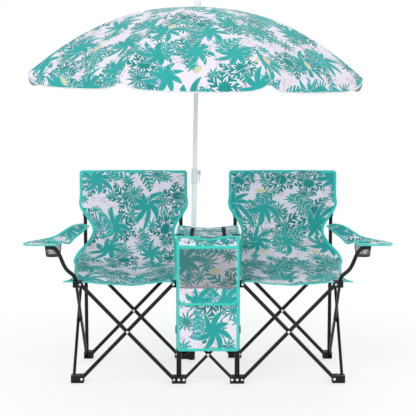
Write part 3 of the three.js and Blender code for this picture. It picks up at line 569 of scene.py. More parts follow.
class Repeats:
    """Trees that scatter a small piece over points, and that turn drawn lines into strands."""

    def __init__(self) -> None:
        """Builds both trees."""
        self.scatter_tree = self.scatter_group()
        self.strand_tree = self.strand_group()

    @staticmethod
    def started(name: str, *inputs: tuple) -> tuple:
        """Returns: a geometry tree with its own inputs, its input node and its output node."""
        geometry = ("Geometry", "NodeSocketGeometry")
        sockets = [geometry, *inputs, ("Material", "NodeSocketMaterial")]
        return group_tree(name, "GeometryNodeTree", sockets, [geometry])

    @staticmethod
    def closed(tree: Tree, geometry: Socket, entry: bpy.types.Node, end: bpy.types.Node) -> Tree:
        """Ends a tree in real meshes with their material.

        Args:
            tree: the tree.
            geometry: what it makes.
            entry: its input node.
            end: its output node.

        Returns:
            The tree.
        """
        real = added(tree, "GeometryNodeRealizeInstances", {0: geometry})
        values = {"Geometry": real.outputs[0], "Material": entry.outputs["Material"]}
        connect(tree, added(tree, "GeometryNodeSetMaterial", values).outputs[0], end.inputs[0])
        return tree

    def scatter_group(self) -> Tree:
        """Returns: the tree that sets a piece on each point, its z up and its x along the run."""
        tree, entry, end = self.started(
            "scatter", ("Piece", "NodeSocketObject"), ("Size", "NodeSocketFloat", 1.0),
            ("Uneven", "NodeSocketFloat", 0.04), ("Seed", "NodeSocketInt", 7)
        )
        named = [
            added(tree, "GeometryNodeInputNamedAttribute", {"Name": name}, data_type="FLOAT_VECTOR")
            for name in ("up", "run")
        ]
        ways = {index: node.outputs["Attribute"] for index, node in enumerate(named)}
        turn = added(tree, "FunctionNodeAxesToRotation", ways, primary_axis="Z", secondary_axis="X")
        size, uneven = (Number(tree, entry.outputs[name]) for name in ("Size", "Uneven"))
        chance = added(tree, "FunctionNodeRandomValue", {"Seed": entry.outputs["Seed"]}, data_type="FLOAT")
        limits = [socket for socket in chance.inputs if socket.type == "VALUE" and socket.enabled]
        connect(tree, size * (uneven * -1.0 + 1.0), limits[0])
        connect(tree, size * (uneven + 1.0), limits[1])
        piece = added(tree, "GeometryNodeObjectInfo", {"Object": entry.outputs["Piece"]})
        put = added(tree, "GeometryNodeInstanceOnPoints", {
            "Points": entry.outputs["Geometry"],
            "Instance": piece.outputs["Geometry"],
            "Rotation": turn.outputs[0],
            "Scale": next(socket for socket in chance.outputs if socket.enabled),
        })
        return self.closed(tree, put.outputs[0], entry, end)

    def strand_group(self) -> Tree:
        """Returns: the tree that gives drawn lines a round section."""
        tree, entry, end = self.started(
            "strands", ("Radius", "NodeSocketFloat", 0.5 * MM), ("Sides", "NodeSocketInt", 4)
        )
        lines = added(tree, "GeometryNodeMeshToCurve", {"Mesh": entry.outputs["Geometry"]})
        circle = {"Radius": entry.outputs["Radius"], "Resolution": entry.outputs["Sides"]}
        around = added(tree, "GeometryNodeCurvePrimitiveCircle", circle)
        values = {"Fill Caps": True, "Curve": lines.outputs[0], "Profile Curve": around.outputs[0]}
        swept = added(tree, "GeometryNodeCurveToMesh", values)
        return self.closed(tree, swept.outputs[0], entry, end)

    @staticmethod
    def run(tree: Tree, host: bpy.types.Object, **values: object) -> bpy.types.Mesh:
        """Runs a tree on an object and takes its result as a plain mesh.

        Args:
            tree: the tree.
            host: the object that holds the points or lines, which is removed.
            values: the tree's inputs by name.

        Returns:
            The mesh.
        """
        modifier = host.modifiers.new(tree.name, "NODES")
        modifier.node_group = tree
        sockets = {item.name: item.identifier for item in tree.interface.items_tree if item.in_out == "INPUT"}
        for title, value in values.items():
            modifier[sockets[title]] = value
        graph = bpy.context.evaluated_depsgraph_get()
        graph.update()
        mesh = bpy.data.meshes.new_from_object(host.evaluated_get(graph), depsgraph=graph)
        bpy.data.objects.remove(host)
        return mesh

    def scattered(self, spots: Spots, piece: bpy.types.Object, material: Material, size: float = 1.0,
                  uneven: float = 0.0) -> bpy.types.Mesh:
        """Sets a small piece on each spot.

        Args:
            spots: a place, the way up and the way along, each.
            piece: the small piece, which stays.
            material: its finish.
            size: its scale.
            uneven: how far the scale may stray, as a share.

        Returns:
            The mesh of all of them.
        """
        mesh = bpy.data.meshes.new("spots")
        mesh.from_pydata([spot[0] for spot in spots], [], [])
        for index, name in ((1, "up"), (2, "run")):
            values = mesh.attributes.new(name, "FLOAT_VECTOR", "POINT")
            values.data.foreach_set("vector", [part for spot in spots for part in spot[index]])
        host = object_of("spots", mesh)
        return self.run(self.scatter_tree, host, Piece=piece, Size=size, Uneven=uneven, Seed=7,
                        Material=material)

    def strands(self, lines: Iterable[Sequence[Vector]], radius: float, material: Material,
                sides: int = 4) -> bpy.types.Mesh:
        """Gives each drawn line a round section.

        Args:
            lines: the points of each line.
            radius: the strand's radius, in millimetres.
            material: its finish.
            sides: the corners of its section.

        Returns:
            The mesh of all of them.
        """
        points, edges = [], []
        for line in lines:
            first = len(points)
            points.extend(line)
            edges.extend((index, index + 1) for index in range(first, len(points) - 1))
        mesh = bpy.data.meshes.new("lines")
        mesh.from_pydata(points, edges, [])
        host = object_of("lines", mesh)
        return self.run(self.strand_tree, host, Radius=radius * MM, Sides=sides, Material=material)


# Meshes in code


def at(x: float, y: float, z: float) -> Vector:
    """Returns: a point given in millimetres."""
    return Vector((x, y, z)) * MM


def toward(x: float = 0, y: float = 0, z: float = 0) -> Vector:
    """Returns: a direction."""
    return Vector((x, y, z))


def object_of(name: str, mesh: bpy.types.Mesh) -> bpy.types.Object:
    """Returns: a new object of a mesh, at the origin of the scene."""
    made = bpy.data.objects.new(name, mesh)
    bpy.context.scene.collection.objects.link(made)
    return made


def blended(start: float, end: float, share: float) -> float:
    """Returns: the value so far from start to end."""
    return start + (end - start) * share


def eased(share: float) -> float:
    """Returns: a share held in 0 to 1, with a smooth start and end."""
    held = min(max(share, 0.0), 1.0)
    return held * held * (3 - 2 * held)


def along(values: Sequence[float], share: float) -> float:
    """Reads a table of evenly spaced values as one smooth curve.

    Args:
        values: the table.
        share: the place in it, from 0 to 1.

    Returns:
        The value there.
    """
    last = len(values) - 1
    place = min(max(share, 0.0), 1.0) * last
    index = min(int(place), last - 1)
    part = place - index
    before, start, end, after = (values[min(max(index + step, 0), last)] for step in (-1, 0, 1, 2))
    leave, reach = (end - before) / 2, (after - start) / 2
    rise = end - start
    square, cube = 3 * rise - 2 * leave - reach, leave + reach - 2 * rise
    return start + part * (leave + part * (square + part * cube))


def steps(count: int, start: float = 0.0, end: float = 1.0) -> list[float]:
    """Returns: evenly spaced values, with both ends."""
    return [blended(start, end, index / count) for index in range(count + 1)]


@dataclass
class Rail:
    """A point of a path: the way inwards and the way up there, and how large the section is."""

    at: Vector
    inward: Vector
    up: Vector
    size: float = 1.0


def path_rails(points: Sequence[Vector], first: Vector = Vector((0, 0, 1)), ends: float = 1.0) -> list[Rail]:
    """Carries a section along a path without twisting it.

    Args:
        points: the path.
        first: the way up at its start.
        ends: how large the section is at both ends.

    Returns:
        A rail at each point.
    """
    rails, up, last = [], first, len(points) - 1
    for index, point in enumerate(points):
        run = (points[min(index + 1, last)] - points[max(index - 1, 0)]).normalized()
        if abs(run.dot(up)) > 0.99:
            up = Vector((1, 0, 0)) if abs(run.x) < 0.9 else Vector((0, 1, 0))
        up = (up - run * up.dot(run)).normalized()
        rails.append(Rail(Vector(point), run.cross(up), up, ends if index in (0, last) else 1.0))
    return rails


def ring(radius: float, sides: int, tall: float = 1.0) -> list[tuple[float, float]]:
    """Returns: the corners of a round section, or of an oval one."""
    turns = [TAU * side / sides for side in range(sides)]
    return [(radius * math.cos(turn), radius * tall * math.sin(turn)) for turn in turns]


def rounded_section(width: float, height: float, radius: float, corner_steps: int = 3) -> list[tuple]:
    """Draws a rectangle with rounded corners about its middle.

    Args:
        width: its width.
        height: its height.
        radius: the radius of its corners.
        corner_steps: the number of sides of each corner.

    Returns:
        Its corners.
    """
    points = []
    for quarter, (across, up) in enumerate(((1, 1), (-1, 1), (-1, -1), (1, -1))):
        for step in range(corner_steps + 1):
            angle = (quarter + step / corner_steps) * math.pi / 2
            x = across * (width / 2 - radius) + radius * math.cos(angle)
            points.append((x, up * (height / 2 - radius) + radius * math.sin(angle)))
    return points


class Shell:
    """A mesh under construction, with each face's finish and each corner's place on its cloth."""

    def __init__(self) -> None:
        """Starts empty."""
        self.points: list[Vector] = []
        self.faces: list[list[int]] = []
        self.places: list[tuple] = []
        self.finishes: list[Material] = []
        self.chosen: list[int] = []

    def add(self, points: Sequence[Vector], faces: Sequence[Sequence[int]], finish: Material | list[Material],
            places: Sequence[Sequence[tuple]] | None = None) -> None:
        """Adds a closed form and turns its faces outwards.

        Args:
            points: its points.
            faces: its faces, as indices of its points.
            finish: its material, or one for each face.
            places: for each face, the cloth place of each corner.
        """
        middle = sum((Vector(point) for point in points), Vector()) / len(points)
        volume = 0.0
        for face in faces:
            corner = points[face[0]] - middle
            for second, third in zip(face[1:], face[2:]):
                volume += corner.dot((points[second] - middle).cross(points[third] - middle))
        first, way = len(self.points), 1 if volume >= 0 else -1
        self.points.extend(points)
        for index, face in enumerate(faces):
            own = finish[index] if isinstance(finish, list) else finish
            if own not in self.finishes:
                self.finishes.append(own)
            spots = list(places[index]) if places else [(0.0, 0.0, 0.0)] * len(face)
            self.faces.append([first + corner for corner in face][::way])
            self.places.extend(spots[::way])
            self.chosen.append(self.finishes.index(own))

    def cast(self, node: str, finish: Material, cuts: Sequence[tuple[Vector, Vector]] = (),
             edge: float = 0.9) -> None:
        """Adds a copy of a moulding of the frame, merged, cut where asked, and with its edges eased.

        Args:
            node: the moulding's node.
            finish: its material.
            cuts: a point and the way out for each cut; what lies that way is taken off.
            edge: the width of the eased edges, in millimetres.
        """
        work = bmesh.new()
        work.from_mesh(frame["nodes"][node].data)
        bmesh.ops.remove_doubles(work, verts=work.verts, dist=0.01 * MM)
        for point, away in cuts:
            parts = work.verts[:] + work.edges[:] + work.faces[:]
            cut = bmesh.ops.bisect_plane(work, geom=parts, plane_co=point, plane_no=away, clear_outer=True)
            rim = [part for part in cut["geom_cut"] if isinstance(part, bmesh.types.BMEdge)]
            bmesh.ops.holes_fill(work, edges=rim, sides=0)
        bmesh.ops.dissolve_limit(work, angle_limit=math.radians(1.5), verts=work.verts, edges=work.edges)
        limit = math.radians(32)
        sharp = [part for part in work.edges if part.is_manifold and part.calc_face_angle(0.0) > limit]
        bmesh.ops.bevel(work, geom=sharp, offset=edge * MM, segments=2, profile=0.6, affect="EDGES",
                        clamp_overlap=True)
        work.verts.index_update()
        faces = [[vert.index for vert in face.verts] for face in work.faces]
        self.add([vert.co.copy() for vert in work.verts], faces, finish)
        work.free()

    def swept(self, rails: Sequence[Rail], section: Outline, finish: Material, closed: bool = False) -> None:
        """Carries a section along a path.

        Args:
            rails: the path.
            section: the section's corners, inwards and up, in millimetres.
            finish: its material.
            closed: whether the path comes back to its start.
        """
        count = len(section)
        points = [
            rail.at + (rail.inward * across + rail.up * high) * (rail.size * MM)
            for rail in rails
            for across, high in section
        ]
        around, run = [0.0], [0.0]
        for (x0, y0), (x1, y1) in zip(section, [*section[1:], section[0]]):
            around.append(around[-1] + math.hypot(x1 - x0, y1 - y0) * MM)
        for here, there in zip(rails, [*rails[1:], rails[0]]):
            run.append(run[-1] + (there.at - here.at).length)
        faces, places = [], []
        for row in range(len(rails) if closed else len(rails) - 1):
            here, there = row * count, (row + 1) % len(rails) * count
            for side in range(count):
                beside = (side + 1) % count
                faces.append([here + side, here + beside, there + beside, there + side])
                corners = ((row, side), (row, side + 1), (row + 1, side + 1), (row + 1, side))
                places.append([(run[i], around[j], 0.0) for i, j in corners])
        if not closed:
            last = (len(rails) - 1) * count
            caps = ((list(range(count))[::-1], run[0]), (list(range(last, last + count)), run[-2]))
            for cap, place in caps:
                faces.append(cap)
                places.append([(place, around[corner % count], 0.0) for corner in cap])
        self.add(points, faces, finish, places)

    def tube(self, points: Sequence[Vector], radius: float, finish: Material, sides: int = 28,
             edge: float = 0.7) -> None:
        """Adds a round tube with closed and eased ends along a path.

        Args:
            points: the path.
            radius: the tube's radius, in millimetres.
            finish: its material.
            sides: the number of sides.
            edge: the length of its eased ends, in millimetres.
        """
        path = [Vector(point) for point in points]
        first = (path[1] - path[0]).normalized() * edge * MM
        last = (path[-1] - path[-2]).normalized() * edge * MM
        path = [path[0], path[0] + first, *path[1:-1], path[-1] - last, path[-1]]
        self.swept(path_rails(path, ends=1 - edge / radius), ring(radius, sides), finish)

    def turned(self, profile: Outline, finish: Material, sides: int = 32, place: Matrix = Matrix.Identity(4),
               looped: bool = False) -> None:
        """Turns an outline about the Z axis of a place.

        Args:
            profile: radius and height of each point, in millimetres, from the axis and back to it, or
                round a wall.
            finish: its material.
            sides: the number of sides.
            place: where the form stands.
            looped: whether the outline is a closed wall that never meets the axis.
        """
        points, rows = [], []
        for radius, height in profile:
            count = sides if radius > 0 else 1
            rows.append([len(points) + index for index in range(count)])
            turns = [TAU * index / sides for index in range(count)]
            around = [(radius * math.cos(turn), radius * math.sin(turn)) for turn in turns]
            points.extend(place @ at(x, y, height) for x, y in around)
        faces = []
        for lower, upper in zip(rows, rows[1:] + (rows[:1] if looped else [])):
            if len(lower) == len(upper) == 1:
                continue
            for index in range(sides):
                ends = (index, index + 1)
                here, beside = ([row[end % len(row)] for row in (lower, upper)] for end in ends)
                faces.append(list(dict.fromkeys([here[0], beside[0], beside[1], here[1]])))
        self.add(points, faces, finish)

    def finished(self, name: str, smooth: float = 38.0) -> bpy.types.Object:
        """Makes the object.

        Args:
            name: its name.
            smooth: the angle, in degrees, up to which its faces are shaded as one.

        Returns:
            The object.
        """
        mesh = bpy.data.meshes.new(name)
        mesh.from_pydata(self.points, [], self.faces)
        for finish in self.finishes:
            mesh.materials.append(finish)
        mesh.polygons.foreach_set("material_index", self.chosen)
        mesh.polygons.foreach_set("use_smooth", [True] * len(self.faces))
        place = mesh.attributes.new(PLACE, "FLOAT_VECTOR", "CORNER")
        place.data.foreach_set("vector", [part for spot in self.places for part in spot])
        mesh.update()
        mesh.set_sharp_from_angle(angle=math.radians(smooth))
        return object_of(name, mesh)


class Side(Enum):
    """A side of the whole object."""

    LEFT = -1
    RIGHT = 1

    @property
    def word(self) -> str:
        """The side's word in names."""
        return self.name.lower()

    @property
    def rear_body(self) -> str:
        """The body of the side's rear inner leg."""
        return "base" if self is Side.LEFT else "right_rear_inner_leg"

    def to(self, point: Vector) -> Vector:
        """Returns: a point of the left side, moved to this side."""
        return Vector((point.x * -self.value, point.y, point.z))


class Sheet:
    """A sheet of cloth over a grid of points, with the way out of its face at each."""

    def __init__(self, point: Point, columns: Sequence[float], rows: Sequence[float], place: Point,
                 face: Vector) -> None:
        """Lays the grid out.

        Args:
            point: the middle of the cloth for shares across and along.
            columns: the shares across.
            rows: the shares along.
            place: the flat cloth's own coordinates for the same shares.
            face: roughly the way that its face looks.
        """
        self.columns, self.rows, self.place = columns, rows, place
        self.last, self.end = len(columns) - 1, len(rows) - 1
        self.grid = [[point(u, v) for u in columns] for v in rows]
        self.outs = [[self.out_at(i, j) for i in range(len(columns))] for j in range(len(rows))]
        if self.outs[len(rows) // 2][len(columns) // 2].dot(face) < 0:
            self.outs = [[-out for out in row] for row in self.outs]

    def out_at(self, i: int, j: int) -> Vector:
        """Returns: the way out of the grid at a column and row."""
        across = self.grid[j][min(i + 1, self.last)] - self.grid[j][max(i - 1, 0)]
        return across.cross(self.grid[min(j + 1, self.end)][i] - self.grid[max(j - 1, 0)][i]).normalized()

    def spot(self, i: int, j: int, cell: int) -> tuple:
        """Returns: the cloth place of a grid point, as a cell of a column sees it."""
        return tuple(self.place(self.columns[i], self.rows[j]))

    def sides(self) -> list[Cells]:
        """Returns: the points of both sides, row by row."""
        return [[(i, j) for j in range(self.end + 1)] for i in (0, self.last)]

    def three_sides(self, at_start: bool = False) -> Cells:
        """Returns: the points up one side, across an end, and back along the other side."""
        left, right = self.sides()
        across = [(i, 0 if at_start else self.end) for i in range(1, self.last)]
        return left[::-1] + across + right if at_start else left + across + right[::-1]

    def border(self) -> Cells:
        """Returns: the points all round the edge."""
        last, end = self.last, self.end
        loop = [(i, 0) for i in range(last)] + [(last, j) for j in range(end)]
        return loop + [(i, end) for i in range(last, 0, -1)] + [(0, j) for j in range(end, 0, -1)]

    def rails(self, loop: Cells, closed: bool = False) -> list[Rail]:
        """Lays rails along points of the grid.

        Args:
            loop: the column and row of each point.
            closed: whether they go all the way round.

        Returns:
            The rails, with the way into the sheet at each.
        """
        found, count = [], len(loop)
        for index, (i, j) in enumerate(loop):
            before = loop[index - 1] if closed else loop[max(index - 1, 0)]
            after = loop[(index + 1) % count] if closed else loop[min(index + 1, count - 1)]
            run = self.grid[after[1]][after[0]] - self.grid[before[1]][before[0]]
            corner, up = self.grid[j][i], self.outs[j][i]
            inward = up.cross(run).normalized()
            inner = self.grid[min(max(j, 1), self.end - 1)][min(max(i, 1), self.last - 1)]
            found.append(Rail(corner, inward if inward.dot(inner - corner) >= 0 else -inward, up))
        return found

    def clear(self, i: int, j: int, middle: Vector, radius: float) -> bool:
        """Returns: whether a cell lies clear of a round hole."""
        centre = (self.grid[j][i] + self.grid[j + 1][i + 1]) / 2
        return (centre.xy - middle.xy).length > radius * MM

    def lay(self, shell: Shell, thickness: float, finish: Material, under: Material, rim: Material,
            hole: tuple[Vector, float] | None = None) -> None:
        """Adds the cloth to a shell, with its face, its underside and its rim.

        Args:
            shell: the shell.
            thickness: the cloth's, in millimetres.
            finish: the finish of its face.
            under: the finish of its underside.
            rim: the finish of its rim.
            hole: the middle and the radius of a round hole.
        """
        points, faces, finishes, places = [], [], [], []
        numbers: dict[tuple[int, int, int], int] = {}
        half = thickness * MM / 2
        spread = [(i, j) for i in range(self.last) for j in range(self.end)]
        cells = {cell for cell in spread if not hole or self.clear(*cell, *hole)}
        for i, j in sorted(cells):
            corners = [(i, j), (i + 1, j), (i + 1, j + 1), (i, j + 1)]
            drawn = [([(*corner, 1) for corner in corners], finish)]
            drawn.append(([(*corner, -1) for corner in corners[::-1]], under))
            for index, other in enumerate([(i, j - 1), (i + 1, j), (i, j + 1), (i - 1, j)]):
                if other not in cells:
                    start, end = corners[index], corners[(index + 1) % 4]
                    drawn.append(([(*start, -1), (*end, -1), (*end, 1), (*start, 1)], rim))
            for face, own in drawn:
                for key in face:
                    if key not in numbers:
                        column, row, layer = key
                        numbers[key] = len(points)
                        points.append(self.grid[row][column] + self.outs[row][column] * (half * layer))
                faces.append([numbers[key] for key in face])
                finishes.append(own)
                places.append([self.spot(column, row, i) for column, row, _ in face])
        shell.add(points, faces, finishes, places)


class Wedge(Sheet):
    """A sheet over a rib, whose print starts anew on each side of the rib."""

    def spot(self, i: int, j: int, cell: int) -> tuple:
        """Returns: the cloth place of a grid point, as a cell of a column sees it."""
        sliver = -1e-9 if self.columns[cell] < 0 else 1e-9
        return tuple(self.place(self.columns[i] or sliver, self.rows[j]))


def evenly(line: Sequence[tuple[Vector, Vector]], pitch: float) -> Spots:
    """Walks along a line of points.

    Args:
        line: a point and the way up there, each.
        pitch: the length of a step, in millimetres.

    Returns:
        A place, the way up and the way along, after each step.
    """
    spots, left = [], pitch * MM / 2
    for (start, up), (end, _) in zip(line, line[1:]):
        length = (end - start).length
        while left < length:
            spots.append((start.lerp(end, left / length), up, (end - start).normalized()))
            left += pitch * MM
        left -= length
    return spots


@dataclass(frozen=True)
class Tape:
    """A binding folded over an edge of cloth, in millimetres."""

    width: float = 11.5
    proud: float = 0.7
    over: float = 1.0
    stitch: float = 4.2

    def section(self, thickness: float) -> Outline:
        """Returns: the binding's section round an edge of so thick a cloth."""
        high, low, soft = thickness / 2 + self.proud, thickness / 2 - 0.2, 0.8
        upper = [(self.width, low), (self.width - soft, high), (soft, high), (-self.over, high * 0.55)]
        return upper + [(across, -up) for across, up in reversed(upper)]

    def seam(self, rails: Sequence[Rail], thickness: float, closed: bool = False, both: bool = True) -> Spots:
        """Finds the stitches of the binding's seam.

        Args:
            rails: the bound edge.
            thickness: the cloth's.
            closed: whether the edge goes all the way round.
            both: whether the underside shows them too.

        Returns:
            A place, the way up and the way along, for each stitch.
        """
        high, inward = (thickness / 2 + self.proud + 0.05) * MM, (self.width - 2.4) * MM
        spots = []
        for layer in (1, -1) if both else (1,):
            line = [
                (rail.at + rail.inward * inward + rail.up * (high * layer), rail.up * layer) for rail in rails
            ]
            spots += evenly(line + line[:1] if closed else line, self.stitch)
        return spots


@dataclass(frozen=True)
class Crumple:
    """How a piece of cloth gathers as a joint moves: along an axis, towards a point, to a share."""

    joint: str
    axis: tuple[float, float, float]
    anchor: tuple[float, float, float]
    keep: float


@dataclass
class Workshop:
    """What every sub-assembly shares: the finishes, the repeats and the small pieces."""

    finishes: Finishes = field(default_factory=Finishes)
    repeats: Repeats = field(default_factory=Repeats)
    stitch: bpy.types.Object = field(init=False)
    tooth: bpy.types.Object = field(init=False)
    head: bpy.types.Object = field(init=False)

    def __post_init__(self) -> None:
        """Makes the small pieces that are repeated: a stitch, a zip's tooth and a rivet's head."""
        thread, tooth, head = Shell(), Shell(), Shell()
        shares = (-1.0, -0.7, 0.0, 0.7, 1.0)
        path = [at(1.5 * share, 0, 0.28 * (1 - abs(share) ** 3) - 0.1) for share in shares]
        thread.swept(path_rails(path), ring(0.24, 5), self.finishes.hem)
        path = [at(0, 2.1 * share, 0.3) for share in (-1, -0.8, 0.8, 1)]
        tooth.swept(path_rails(path, ends=0.6), rounded_section(1.3, 1.2, 0.3, 1), self.finishes.moulding)
        dome = [(0, -0.15), (0.97, -0.15), (1, 0), (0.96, 0.12), (0.82, 0.24), (0.6, 0.34), (0.32, 0.395),
                (0, 0.41)]
        head.turned(dome, self.finishes.steel, 20)
        self.stitch = self.small("stitch", thread)
        self.tooth = self.small("zip_tooth", tooth)
        self.head = self.small("rivet_head", head)

    @staticmethod
    def small(name: str, shell: Shell) -> bpy.types.Object:
        """Returns: a small piece for the repeats, kept out of the picture."""
        made = shell.finished(name, 60.0)
        made.hide_render = True
        return made

    def fit(self, piece: bpy.types.Object, body: str, slot: str, *nodes: str,
            crumple: Crumple | None = None) -> bpy.types.Object:
        """Puts a finished piece on its body.

        Args:
            piece: the piece, with its mesh final.
            body: the body that carries it.
            slot: the record's slot for its finish; not used.
            nodes: the nodes that it stands for.
            crumple: how it gathers, if it is cloth.

        Returns:
            The piece.
        """
        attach(piece, body)
        if nodes:
            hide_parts(*nodes)
        if crumple:
            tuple(crumple.axis)
            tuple(crumple.anchor)
            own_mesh(piece)
        LOG.info("%s rides on %s, with %d faces", piece.name, body, len(piece.data.polygons))
        return piece

    def sewn(self, name: str, spots: Spots, body: str, crumple: Crumple) -> None:
        """Sews a row of stitches along given places."""
        mesh = self.repeats.scattered(spots, self.stitch, self.finishes.binding, 1.0, 0.06)
        self.fit(object_of(name, mesh), body, "printed_cloth", crumple=crumple)

    def sheeted(self, sheet: Sheet, loops: Sequence[Cells], tape: Tape, thickness: float,
                closed: bool = False, both: bool = True, rim: Material | None = None,
                hole: tuple[Vector, float] | None = None) -> tuple[Shell, Spots]:
        """Lays a sheet of the printed cloth and binds its edges.

        Args:
            sheet: the sheet.
            loops: the grid points along each bound edge.
            tape: the binding.
            thickness: the cloth's, in millimetres.
            closed: whether the bound edge goes all the way round.
            both: whether the underside shows the stitches too.
            rim: the finish of the cut edge, if not the cloth's own.
            hole: the middle and the radius of a round hole.

        Returns:
            A shell with the cloth and its binding, and the stitches.
        """
        shell, spots = Shell(), []
        cloth, binding = self.finishes.cloth, self.finishes.binding
        sheet.lay(shell, thickness, cloth, self.finishes.backing, rim or cloth, hole)
        for loop in loops:
            rails = sheet.rails(loop, closed)
            shell.swept(rails, tape.section(thickness), binding, closed)
            spots += tape.seam(rails, thickness, closed, both)
        return shell, spots

    def cloth(self, shell: Shell, name: str, body: str, node: str, crumple: Crumple, spots: Spots,
              smooth: float = 50.0, **declared: object) -> None:
        """Args:
            shell: the cloth with all that is on it.
            name: the start of its pieces' names.
            body: the body that carries it.
            node: the node that it stands for.
            crumple: how it gathers.
            spots: its stitches.
            smooth: the angle, in degrees, up to which its faces are shaded as one.
            declared: sizes and facts of the flat sheet; not used.
        """
        piece = shell.finished(f"{name}_cloth", smooth)
        self.fit(piece, body, "printed_cloth", node, crumple=crumple)
        self.sewn(f"{name}_stitches", spots, body, crumple)

    def riveted(self, name: str, heads: Iterable[tuple[Vector, Vector]], body: str,
                radius: float = 5.8) -> None:
        """Sets rivet heads.

        Args:
            name: the piece's name.
            heads: the place of each and the way that it faces.
            body: the body that carries them.
            radius: a head's radius, in millimetres.
        """
        spots = [(place, out, out.orthogonal().normalized()) for place, out in heads]
        mesh = self.repeats.scattered(spots, self.head, self.finishes.steel, radius)
        mesh.polygons.foreach_set("use_smooth", [True] * len(mesh.polygons))
        self.fit(object_of(name, mesh), body, "black_tube")

    def cleared(self) -> None:
        """Takes the small pieces away once everything is built."""
        for piece in (self.stitch, self.tooth, self.head):
            bpy.data.objects.remove(piece)


# The frame

AHEAD, BEHIND, OUTWARD, UPWARD = toward(y=-1), toward(y=1), toward(x=-1), toward(z=1)
POLE = Matrix.Translation(at(-74, 0, 4.3)) @ Matrix.Rotation(math.radians(1.07), 4, "Y")
GATHERED = Crumple("fold", (1.0, 0.0, 0.0), (-120.5 * MM, 0.0, 0.0), 0.373)  # the cloth between the chairs


@dataclass(frozen=True)
class Row:
    """The front or the rear row of legs, in millimetres."""

    name: str
    y: float
    out: int
    post_radius: float

    def planes(self, away: float) -> tuple[float, float]:
        """Returns: the depth of the planes of a row's two tubes, the outer one first."""
        return self.y + self.out * away, self.y - self.out * away


FRONT = Row("front", -387, -1, 10.5)
REAR = Row("rear", 40, 1, 8)


